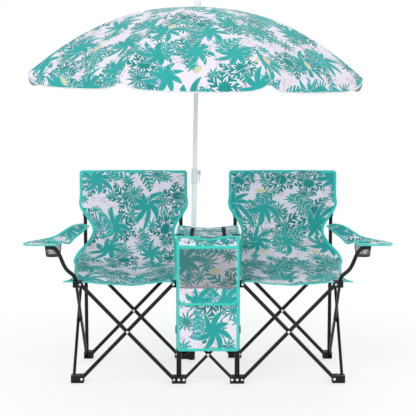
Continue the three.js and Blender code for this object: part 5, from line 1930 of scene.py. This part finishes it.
@dataclass
class CoolBag:
    """The cool bag under the table, with its flap and net pocket, in millimetres."""

    shop: Workshop
    table: Table
    top: float = 598.9
    front: float = -416.2
    panel: float = 9
    panel_face: Hanging = Hanging(128, 597.9, 140, 12)
    back: float = -301.2
    body_half: float = 100
    body_bottom: float = 250
    body_edge: float = 14.0
    flap_face: Hanging = Hanging(127, 595.9, 333, 34)
    flap_front: float = -422
    flap_cloth: float = 4.4
    net_top: float = 573
    net_bottom: float = 408
    net_pitch: float = 2.9
    bar_height: float = 13
    bar_lift: float = 2.4

    def panel_point(self, u: float, v: float) -> Vector:
        """Returns: the middle of the front panel, whose top reaches up to the table's underside."""
        x, z = self.panel_face.spread(u, v)
        under = self.table.height(x, self.front) - self.table.cloth / 2 - 2.2
        z += max(under - self.top, 0.0) * max(1 - v * 6, 0.0)
        wave = 2.2 * math.sin(x * 0.045 + 1.1) * eased((v - 0.55) / 0.4)
        wave += noise.noise(Vector((x, z, 40.0)) * 0.02) * 1.8
        return at(x, self.front + self.panel / 2 + wave * (1 - abs(x / self.panel_face.half) ** 4), z)

    def panel_place(self, u: float, v: float) -> Vector:
        """Returns: the front panel's flat coordinates, in metres."""
        return Vector(((2 * u - 1) * self.panel_face.half * MM + 5.15, -v * 0.451 + 4.4, 0.0))

    def flap_point(self, u: float, v: float) -> Vector:
        """Returns: the middle of the flap, whose foot stands a little forward."""
        x, z = self.flap_face.spread(u, v)
        wave = noise.noise(Vector((x * 0.022, z * 0.016, 9.0))) * 1.7 + math.sin(x * 0.05 + z * 0.02) * 0.7
        out = 1.6 * math.sin(math.pi * min(v, 1.0)) + 4.5 * eased(v)
        bowed = 1 - 0.6 * abs(x / self.flap_face.half) ** 6
        return at(x, self.flap_front + 2.75 - out * bowed + wave * math.sin(math.pi * v), z)

    def flap_place(self, u: float, v: float) -> Vector:
        """Returns: the flap's flat coordinates, in metres."""
        return Vector(((2 * u - 1) * self.flap_face.half * MM + 8.6, -v * 0.263 + 1.7, 0.0))

    def front_panel(self) -> None:
        """Builds the front panel, bound on three sides, with the padded body behind it."""
        columns = [0, 0.006, 0.018] + steps(40, 0.04, 0.96) + [0.982, 0.994, 1]
        rows = steps(60, 0, 0.96) + [0.97, 0.98, 0.9865, 0.992, 0.996, 0.999, 1]
        sheet = Sheet(self.panel_point, columns, rows, self.panel_place, AHEAD)
        shell, spots = self.shop.sheeted(sheet, [sheet.three_sides()], Tape(11.5), self.panel)
        self.body(shell)
        carrier = "left_front_inner_leg"
        piece = self.shop.fit(shell.finished("cool_bag_cloth", 45.0), carrier, "printed_cloth", "cool_bag",
                              crumple=GATHERED)
        self.shop.sewn("cool_bag_stitches", spots, carrier, GATHERED)

    def outline(self, share: float) -> list[Vector]:
        """Returns: the outline of the body at a share of its height."""
        front, low, top = self.front + self.panel - 1.5, self.body_bottom, self.top - 0.6
        full = 3.2 * math.sin(math.pi * share) ** 0.6
        draw = self.body_edge * (1 - math.sqrt(1 - max(1 - share * (top - low) / self.body_edge, 0.0) ** 2))
        inset = 3.4 + draw - full
        wide, deep = 2 * (self.body_half - inset), (self.back - front) - 2 * inset
        section = rounded_section(wide, deep, self.body_edge, 5)
        centre = (front + self.back) / 2
        return [at(x, centre + y, blended(low, top, share)) for x, y in section]

    def body(self, shell: Shell) -> None:
        """Adds the padded body, its sides and floor a little full, with piped edges."""
        finishes = self.shop.finishes
        shares = [0, 0.003, 0.008, 0.016, 0.026, 0.038] + steps(24, 0.055, 0.985) + [0.995, 1]
        points = [point for share in shares for point in self.outline(share)]
        count = len(points) // len(shares)
        faces, places = [], []
        for row in range(len(shares) - 1):
            for side in range(count):
                beside, here, there = (side + 1) % count, row * count, (row + 1) * count
                faces.append([here + side, here + beside, there + beside, there + side])
                corners = [points[corner] for corner in faces[-1]]
                places.append([(corner.x + corner.y, corner.z, 0.0) for corner in corners])
        for first in (0, (len(shares) - 1) * count):
            faces.append(list(range(first, first + count)))
            places.append([(points[corner].x, points[corner].y, 0.0) for corner in faces[-1]])
        shell.add(points, faces, finishes.plain_cloth, places)
        for share in (0.045, 0.965):
            line = self.outline(share)
            middle = sum(line, Vector()) / len(line)
            rails = [Rail(point, (middle - point).normalized(), UPWARD) for point in line]
            shell.swept(rails, ring(1.6, 8), finishes.binding, closed=True)

    def flap(self) -> None:
        """Builds the flap with its binding and its bar, and its net pocket."""
        columns = [0, 0.006, 0.016, 0.03] + steps(40, 0.05, 0.95) + [0.97, 0.984, 0.994, 1]
        rows = steps(40, 0, 0.9) + [0.915, 0.93, 0.945, 0.96, 0.973, 0.984, 0.992, 0.997, 1]
        sheet = Sheet(self.flap_point, columns, rows, self.flap_place, AHEAD)
        shell, spots = self.shop.sheeted(sheet, [sheet.three_sides()], Tape(10.5), self.flap_cloth)
        spots += self.bar(shell)
        self.shop.cloth(shell, "cool_bag_flap", "cool_bag_flap", "cool_bag_flap", GATHERED, spots, 45.0,
                        flat=(0.248, 0.263), held="hung", rests_on=["cool_bag"])
        self.net()

    def flap_front_at(self, x: float, z: float, lift: float) -> Vector:
        """Returns: a point so far in front of the flap's face."""
        face = self.flap_face
        place = self.flap_point((x / face.half + 1) / 2, (face.top - z) / (face.top - face.bottom))
        place.x = x * MM
        place.y -= (self.flap_cloth / 2 + lift) * MM
        return place

    def bar(self, shell: Shell) -> Spots:
        """Adds a turquoise bar across the flap.

        Args:
            shell: the flap's shell.

        Returns:
            The stitches along it.
        """
        reach, level = self.flap_face.half - 6, self.net_top
        places = [self.flap_front_at(x, level, self.bar_lift / 2 - 0.2) for x in steps(34, -reach, reach)]
        section = rounded_section(self.bar_height, self.bar_lift, 0.8, 2)
        shell.swept([Rail(place, UPWARD, AHEAD) for place in places], section, self.shop.finishes.binding)
        spots = []
        for step in (-1, 1):
            z = level + step * (self.bar_height / 2 - 2)
            places = [self.flap_front_at(x, z, self.bar_lift - 0.15) for x in steps(60, -reach, reach)]
            spots += evenly([(place, AHEAD) for place in places], 4.2)
        return spots

    def net(self) -> None:
        """Builds the pocket's net, a little full, with its gathered fold and its hem."""
        grey = self.shop.finishes.grey_hem
        half, pitch = self.flap_face.half - 13, self.net_pitch
        low, high = self.net_bottom, self.net_top - 5

        def place(x: float, z: float) -> Vector:
            """A point of the net in front of the flap."""
            share = min(max((z - low) / (high - low), 0), 1)
            full = 1.3 + 2.6 * math.sin(math.pi * share) * (1 - (x / half) ** 4)
            return self.flap_front_at(x, z, full + 0.5 * math.sin(x * 0.09 + z * 0.05))

        upright = [-half + index * pitch for index in range(int(2 * half / pitch) + 1)]
        level = [low + index * pitch for index in range(int((high - low) / pitch) + 1)]
        lines = [[place(x, z) for z in steps(10, low, high)] for x in upright]
        lines += [[place(x, z) for x in steps(22, -half, half)] for z in level]
        mesh = self.shop.repeats.strands(lines, 0.27, self.shop.finishes.net)
        self.shop.fit(object_of("pocket_net", mesh), "cool_bag_flap", "mesh_cloth", crumple=GATHERED)
        shell = Shell()
        hem = [Rail(place(x, low), UPWARD, AHEAD) for x in steps(30, -half, half)]
        shell.swept(hem, rounded_section(7, 2.2, 0.8, 2), grey)
        fold = [place(half - 62 + 60 * share, low + 5 + 38 * share**1.6) - at(0, 1.4, 0) for share in steps(16)]
        rails = path_rails(fold, AHEAD)
        for index, rail in enumerate(rails):
            rail.size = 0.35 + 0.65 * math.sin(math.pi * (0.12 + 0.8 * index / (len(rails) - 1)))
        shell.swept(rails, ring(3.4, 10, 0.45), grey)
        self.shop.fit(shell.finished("pocket_hem", 50.0), "cool_bag_flap", "mesh_cloth", crumple=GATHERED)

    def build(self) -> None:
        """Builds the cool bag."""
        self.front_panel()
        self.flap()


# The parasol


@dataclass
class Parasol:
    """The parasol on its two-part pole, drawn up the pole's own axis, in millimetres."""

    shop: Workshop
    pole_radius: float = 11
    pole_wall: float = 1.2
    pole_length: float = 850
    collar_radius: float = 14
    collar_height: float = 65
    ear_start: float = 3.9
    ear_depth: float = 3
    ear_reach: float = 27
    ear_height: float = 20
    lever_x: float = 21
    lever_z: float = 834
    upper_radius: float = 9.5
    upper_start: float = 600
    crown_top: float = 1547.1
    crown_bottom: float = 1523.1
    cap: float = 1550.3
    # The finial's outline: its radius, and its height over the cap's foot
    finial: tuple = ((0, 0), (15.2, 0), (16, 0.8), (16, 5), (15.6, 8), (15.4, 20), (14.9, 24), (13.2, 26),
                     (10.5, 27.3), (8.2, 29.5), (7.2, 33), (7.3, 38), (7, 43.5), (5.8, 47.4), (3.6, 49.4), (0, 50))
    dome_height: float = 1549
    dome_radius: float = 742
    dome_drop: float = 290
    dome_power: float = 2.2
    dome_hole: float = 12
    valance: float = 50
    cloth: float = 1.4
    rib_count: int = 8
    rib_radius: float = 2
    rib_below: float = 6.2
    rib_pin: float = 13
    rib_pin_z: float = 1536.1
    runner_radius: float = 16
    runner_low: float = 1334
    runner_high: float = 1364
    stretcher_reach: float = 250
    stretcher_radius: float = 2.2
    stretcher_below: float = 12.4

    def up(self, x: float, y: float, z: float) -> Vector:
        """Returns: a point given in the pole's own frame."""
        return POLE @ at(x, y, z)

    def dome(self, reach: float) -> float:
        """Returns: the height of the canopy over a rib, so far out."""
        return self.dome_height - self.dome_drop * (reach / self.dome_radius) ** self.dome_power

    def angle(self, rib: float) -> float:
        """Returns: the turn of a rib about the pole, counted from 0."""
        return (rib + 0.5) / self.rib_count * TAU

    def rib_frame(self, rib: int) -> Matrix:
        """Returns: the frame of a rib, its x the way out."""
        return POLE @ Matrix.Rotation(self.angle(rib), 4, "Z")

    @staticmethod
    def crosswise(turn: Matrix, x: float, z: float) -> Matrix:
        """Returns: the frame of a pin that lies across a rib."""
        return turn @ Matrix.Translation(at(x, 0, z)) @ Matrix.Rotation(math.pi / 2, 4, "X")

    def lower_pole(self) -> None:
        """Builds the lower pole with its collar and the ears that hold the lever."""
        finishes = self.shop.finishes
        white = finishes.white_plastic
        shell = Shell()
        outer, inner, high = self.pole_radius, self.pole_radius - self.pole_wall, self.pole_length
        low, wide, waist = high - self.collar_height, self.collar_radius, self.collar_radius - 0.9
        wall = [(inner, 0.6), (inner, high), (outer, high), (outer, 420), (outer, 0.8), (outer - 0.8, 0)]
        shell.turned(wall, finishes.pole, 36, POLE, looped=True)
        collar = [(10.9, low), (wide - 1, low), (wide, low + 1), (wide, low + 11), (waist, low + 12),
                  (waist, low + 15), (wide, low + 16), (wide, high - 8), (wide - 0.8, high - 7),
                  (wide - 0.8, high - 5), (wide, high - 4), (wide - 0.3, high - 0.6), (wide - 1.2, high),
                  (9.9, high), (9.9, high - 4), (10.9, high - 5)]
        shell.turned(collar, white, 40, POLE, looped=True)
        across, axis = (POLE.to_3x3() @ way for way in (toward(y=1), UPWARD))
        reach = self.ear_reach
        for sign in (-1, 1):
            middle = sign * (self.ear_start + self.ear_depth / 2)
            rails = [
                Rail(self.up(x, middle, self.lever_z), across, axis, size)
                for x, size in ((wide - 4, 1), (reach - 2, 1), (reach - 0.7, 0.92), (reach, 0.7))
            ]
            shell.swept(rails, rounded_section(self.ear_depth, self.ear_height, 1.2, 2), white)
        end = self.ear_start + self.ear_depth + 0.9
        pin = [self.up(self.lever_x, y, self.lever_z) for y in (-end, 0, end)]
        shell.tube(pin, 3, finishes.moulding, 18, 0.4)
        self.shop.fit(shell.finished("lower_pole_tube", 35.0), "lower_pole", "white_pole", "lower_pole")

    def lever(self) -> None:
        """Builds the cam lever, with eased edges."""
        shell = Shell()
        shell.cast("clamp_lever", self.shop.finishes.white_plastic, edge=1.1)
        piece = shell.finished("clamp_lever_moulding", 40.0)
        self.shop.fit(piece, "clamp_lever", "white_plastic", "clamp_lever")

    def upper_pole(self) -> None:
        """Builds the upper pole with its crown and finial."""
        finishes = self.shop.finishes
        white = finishes.white_plastic
        axis = POLE.to_3x3() @ UPWARD
        shell = Shell()
        outer, inner, top = self.upper_radius, self.upper_radius - self.pole_wall, self.crown_bottom + 2
        wall = [(inner, self.upper_start), (inner, top), (outer, top), (outer, self.upper_start)]
        shell.turned(wall, finishes.pole, 36, POLE, looped=True)
        cuts = [(self.up(0, 0, self.crown_bottom - 0.2), -axis), (self.up(0, 0, self.crown_top + 2), axis)]
        shell.cast("upper_pole", white, cuts, 0.4)
        shell.turned([(radius, self.cap + rise) for radius, rise in self.finial], white, 40, POLE)
        foot, cap = self.crown_top - 1, self.cap + 1
        shell.turned([(0, foot), (8, foot), (8, cap), (0, cap)], white, 24, POLE)
        self.shop.fit(shell.finished("upper_pole_tube", 35.0), "upper_pole", "white_pole", "upper_pole")

    def rib(self, index: int) -> None:
        """Builds a rib with its eye and its tip's cap."""
        finishes, turn = self.shop.finishes, self.rib_frame(index)
        path = []
        for share in steps(30):
            reach = blended(self.rib_pin + 2.5, self.dome_radius - 4, share)
            level = self.dome(reach) - self.rib_below
            path.append(turn @ at(reach, 0, blended(self.rib_pin_z, level, eased(share * 9))))
        shell = Shell()
        shell.tube(path, self.rib_radius, finishes.steel, 12, 0.3)
        eye = [(1.8, -1.9), (1.8, 1.9), (3.7, 1.9), (4, 1.5), (4, -1.5), (3.7, -1.9)]
        shell.turned(eye, finishes.steel, 20, self.crosswise(turn, self.rib_pin, self.rib_pin_z), looped=True)
        tip = (path[-1] - path[-4]).normalized()
        cap = [path[-1] + tip * step * MM for step in (-15, -13, -3, 1.5, 3.4)]
        rails = path_rails([cap[0], *cap])[1:]
        for rail, size in zip(rails, (0.72, 0.9, 1.0, 0.86, 0.4)):
            rail.size = size
        shell.swept(rails, ring(4.3, 16), finishes.grey_plastic)
        name = f"rib_{index + 1}"
        self.shop.fit(shell.finished(f"{name}_wire", 45.0), name, "rib_steel", name)

    def canopy_point(self, index: int, wide: float, down: float) -> Vector:
        """Finds a point of the canopy near a rib.

        Args:
            index: the rib.
            wide: panels past the rib, from -0.5 to 0.5.
            down: from 0 at the top to 1 at the rib's tip, and on to 2 at the valance's hem.

        Returns:
            The point.
        """
        reach = blended(self.dome_hole, self.dome_radius, min(down, 1.0))
        turns = [self.angle(rib) for rib in (index, index + (1 if wide >= 0 else -1))]
        here, beside = (Vector((reach * math.cos(turn), reach * math.sin(turn), 0)) for turn in turns)
        share = abs(wide)
        place = here.lerp(beside, share)
        part = min(share, 1 - share) * 2
        slack = (reach / self.dome_radius) ** 1.5
        sag = 5 * math.sin(math.pi * share) * slack
        pull = math.sin(28 * down + index * 1.7) * 1.1 * math.exp(-part * 5) * slack * (part > 0)
        place.z = self.dome(reach) - sag - pull
        if down > 1:
            inward = 1 - 2 * share if share <= 0.5 else 0.0
            depth = self.valance * math.sqrt(max(1 - inward**7, 0.0)) + 1.6
            out = place.to_2d().normalized()
            wave = 3.0 * math.sin(wide * 24 + index * 2.1) * (down - 1) ** 1.5 * min(part * 4, 1)
            place += Vector((out.x * wave, out.y * wave, -(down - 1) * depth))
        return POLE @ (place * MM)

    def canopy_place(self, index: int, wide: float, down: float) -> tuple[float, float, float]:
        """Returns: the flat coordinates of the panel that a point is on, in metres."""
        reach = blended(self.dome_hole, self.dome_radius, min(down, 1.0))
        beside = 1 if wide >= 0 else -1
        panel = (index + (0 if beside > 0 else -1)) % self.rib_count
        across = (abs(wide) - 0.5) * 2 * math.sin(math.pi / self.rib_count) * reach * MM * beside
        fallen = max(down - 1, 0.0) * self.valance * MM
        return (across + panel * 1.37, -(reach * 1.11 * MM + fallen) + panel * 0.61, 0.0)

    def wedge(self, index: int) -> None:
        """Builds the cloth on both sides of a rib, with its seam and hem."""
        finishes, turn = self.shop.finishes, self.rib_frame(index)
        half = [0.004, 0.009, 0.016, 0.026, 0.04, 0.06, 0.09] + steps(12, 0.125, 0.5)
        columns = [-share for share in reversed(half)] + [0.0] + half
        downs = [0.0] + steps(26, 0.03, 1.0) + [1.03, 1.12] + steps(6, 1.25, 1.94) + [2.0]
        sheet = Wedge(partial(self.canopy_point, index), columns, downs, partial(self.canopy_place, index),
                      turn.to_3x3() @ toward(1, 0, 1))
        grid, outs, shell = sheet.grid, sheet.outs, Shell()
        sheet.lay(shell, self.cloth, finishes.cloth, finishes.cloth, finishes.cloth)
        hem = []
        for above, foot, out in zip(grid[-2], grid[-1], outs[-1]):
            inward = (above - foot).normalized()
            hem.append(Rail(foot - inward * 0.2 * MM, inward, out))
        shell.swept(hem, Tape(4.6, 0.4, 0.6).section(self.cloth), finishes.hem)
        middle, seam = len(half), []
        for j in range(1, len(downs) - 9):
            run, out = (grid[j + 1][middle] - grid[j - 1][middle]).normalized(), outs[j][middle]
            seam.append(Rail(grid[j][middle] + out * 0.7 * MM, run.cross(out), out))
        shell.swept(seam, ring(1.6, 8, 0.5), finishes.cloth)
        name, axis = f"rib_{index + 1}", turn.to_3x3() @ toward(y=1)
        crumple = Crumple("umbrella_close", tuple(axis), tuple(turn @ at(0, 0, self.dome_height)), 0.1)
        piece = shell.finished(f"canopy_panel_{index + 1}", 50.0)
        self.shop.fit(piece, name, "printed_cloth", "canopy", crumple=crumple)

    def runner(self) -> None:
        """Builds the runner and the stretchers that hold the ribs up."""
        finishes = self.shop.finishes
        low, high, wide = self.runner_low, self.runner_high, self.runner_radius
        shell, node = Shell(), "runner_and_stretchers"
        hub = [(9.9, low), (wide - 3, low), (wide - 2, low + 1), (wide - 2, low + 9), (wide, low + 10),
               (wide, high - 9), (wide - 0.6, high - 8), (wide - 0.6, high - 1), (wide - 1.4, high),
               (9.9, high)]
        shell.turned(hub, finishes.white_plastic, 40, POLE, looped=True)
        self.shop.fit(shell.finished("runner_hub", 35.0), "runner", "rib_steel", node)
        start = Vector((wide - 2.2, (low + high) / 2))
        end = Vector((self.stretcher_reach, self.dome(self.stretcher_reach) - self.stretcher_below))
        joint = [(0, -3), (3.4, -3), (3.8, -2.4), (3.8, 2.4), (3.4, 3), (0, 3)]
        for index in range(self.rib_count):
            turn, arm = self.rib_frame(index), Shell()
            spots = [start.lerp(end, share) for share in steps(10)]
            path = [turn @ at(spot.x, 0, spot.y) for spot in spots]
            arm.tube(path, self.stretcher_radius, finishes.steel, 12, 0.4)
            arm.turned(joint, finishes.moulding, 16, self.crosswise(turn, end.x, end.y))
            out = turn.to_3x3() @ toward(x=1)
            crumple = Crumple("umbrella_close", tuple(out), tuple(turn @ at(13, 0, high)), 0.12)
            piece = arm.finished(f"stretcher_{index + 1}", 45.0)
            self.shop.fit(piece, "runner", "rib_steel", node, crumple=crumple)

    def build(self) -> None:
        """Builds the parasol."""
        self.lower_pole()
        self.lever()
        self.upper_pole()
        for index in range(self.rib_count):
            self.rib(index)
            self.wedge(index)
        self.runner()


# The studio


@dataclass
class Studio:
    """The pale floor, the soft lamps and the camera."""

    camera_at: tuple = (0.0, -5.227, 1.336)
    pitch: float = math.radians(7.14)
    lens: float = 103.6
    sensor: float = 36.0
    floor_reach: float = 14.0
    floor_depth: float = 0.0005
    floor_sides: int = 64
    ambient: float = 0.72

    def camera(self) -> None:
        """Sets the camera up."""
        lens = bpy.data.cameras.new("camera")
        lens.lens = self.lens
        lens.sensor_width = self.sensor
        made = bpy.data.objects.new("camera", lens)
        made.location = self.camera_at
        made.rotation_euler = (math.pi / 2 - self.pitch, 0.0, 0.0)
        bpy.context.scene.collection.objects.link(made)
        bpy.context.scene.camera = made

    def world(self) -> None:
        """Lights everything evenly, and shows white to the camera."""
        world = bpy.data.worlds.new("studio")
        bpy.context.scene.world = world
        world.use_nodes = True
        tree = world.node_tree
        tree.nodes.clear()
        strength = seen_number(tree) * (1 - self.ambient) + self.ambient
        plain = added(tree, "ShaderNodeBackground", {"Color": (1.0, 1.0, 1.0), "Strength": strength})
        added(tree, "ShaderNodeOutputWorld", {"Surface": plain.outputs[0]})

    def lamp(self, name: str, place: tuple, aim: tuple, size: float, power: float) -> None:
        """Sets a square soft lamp.

        Args:
            name: its name.
            place: where it hangs.
            aim: the point that it faces.
            size: the length of its side.
            power: its power in watts.
        """
        light = bpy.data.lights.new(name, "AREA")
        light.size = size
        light.energy = power
        made = bpy.data.objects.new(name, light)
        made.location = place
        made.rotation_euler = (Vector(aim) - Vector(place)).to_track_quat("-Z", "Y").to_euler()
        bpy.context.scene.collection.objects.link(made)

    def floor(self) -> None:
        """Lays the pale floor, which fades to white away from the object."""
        paint = Paint("pale_floor", Coordinates.OBJECT, Roughness=0.75)
        tree, shader = paint.tree, paint.shader
        grain = noise_value(tree, paint.place, 30.0, 3.0)
        connect(tree, mixed(tree, grain, (0.86, 0.86, 0.865), (0.9, 0.9, 0.905)), shader.inputs["Base Color"])
        away = added(tree, "ShaderNodeVectorMath", {0: paint.place}, operation="LENGTH")
        fade = ((Number(tree, away.outputs["Value"]) - 0.75) / 0.7).share()
        white = tree.nodes.new("ShaderNodeEmission")
        parts = {0: (fade * 0.35 + 0.65) * seen_number(tree), 1: shader.outputs[0], 2: white.outputs[0]}
        joined = added(tree, "ShaderNodeMixShader", parts)
        connect(tree, joined.outputs[0], tree.nodes["Material Output"].inputs["Surface"])
        mesh = bpy.data.meshes.new("floor")
        points = [(x, y, -self.floor_depth) for x, y in ring(self.floor_reach, self.floor_sides)]
        mesh.from_pydata(points, [], [list(range(len(points)))])
        mesh.materials.append(paint.material)
        object_of("floor", mesh)

    def build(self) -> None:
        """Sets the studio up."""
        self.camera()
        self.world()
        self.floor()
        self.lamp("key", (-2.6, -3.4, 3.6), (0, -0.1, 0.6), 2.4, 88.0)
        self.lamp("fill", (3.2, -3.0, 2.2), (0, -0.1, 0.6), 2.6, 45.0)
        self.lamp("rim", (0.6, 3.2, 3.0), (0, 0, 0.8), 2.2, 40.0)


def main() -> None:
    """Dresses the chair."""
    logging.basicConfig(level=logging.INFO, format="%(name)s: %(message)s", stream=sys.stdout, force=True)
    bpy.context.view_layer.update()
    bpy.context.scene.view_settings.view_transform = "Standard"
    for leftover in [made for made in bpy.data.objects if made.name in ("Cube", "Light", "Camera")]:
        bpy.data.objects.remove(leftover)
    Studio().build()
    shop = Workshop()
    CrossedFrame(shop).build()
    for side in Side:
        Chair(shop, side).build()
    table = Table(shop)
    table.build()
    CoolBag(shop, table).build()
    Parasol(shop).build()
    shop.cleared()


if __name__ == "__main__":
    main()
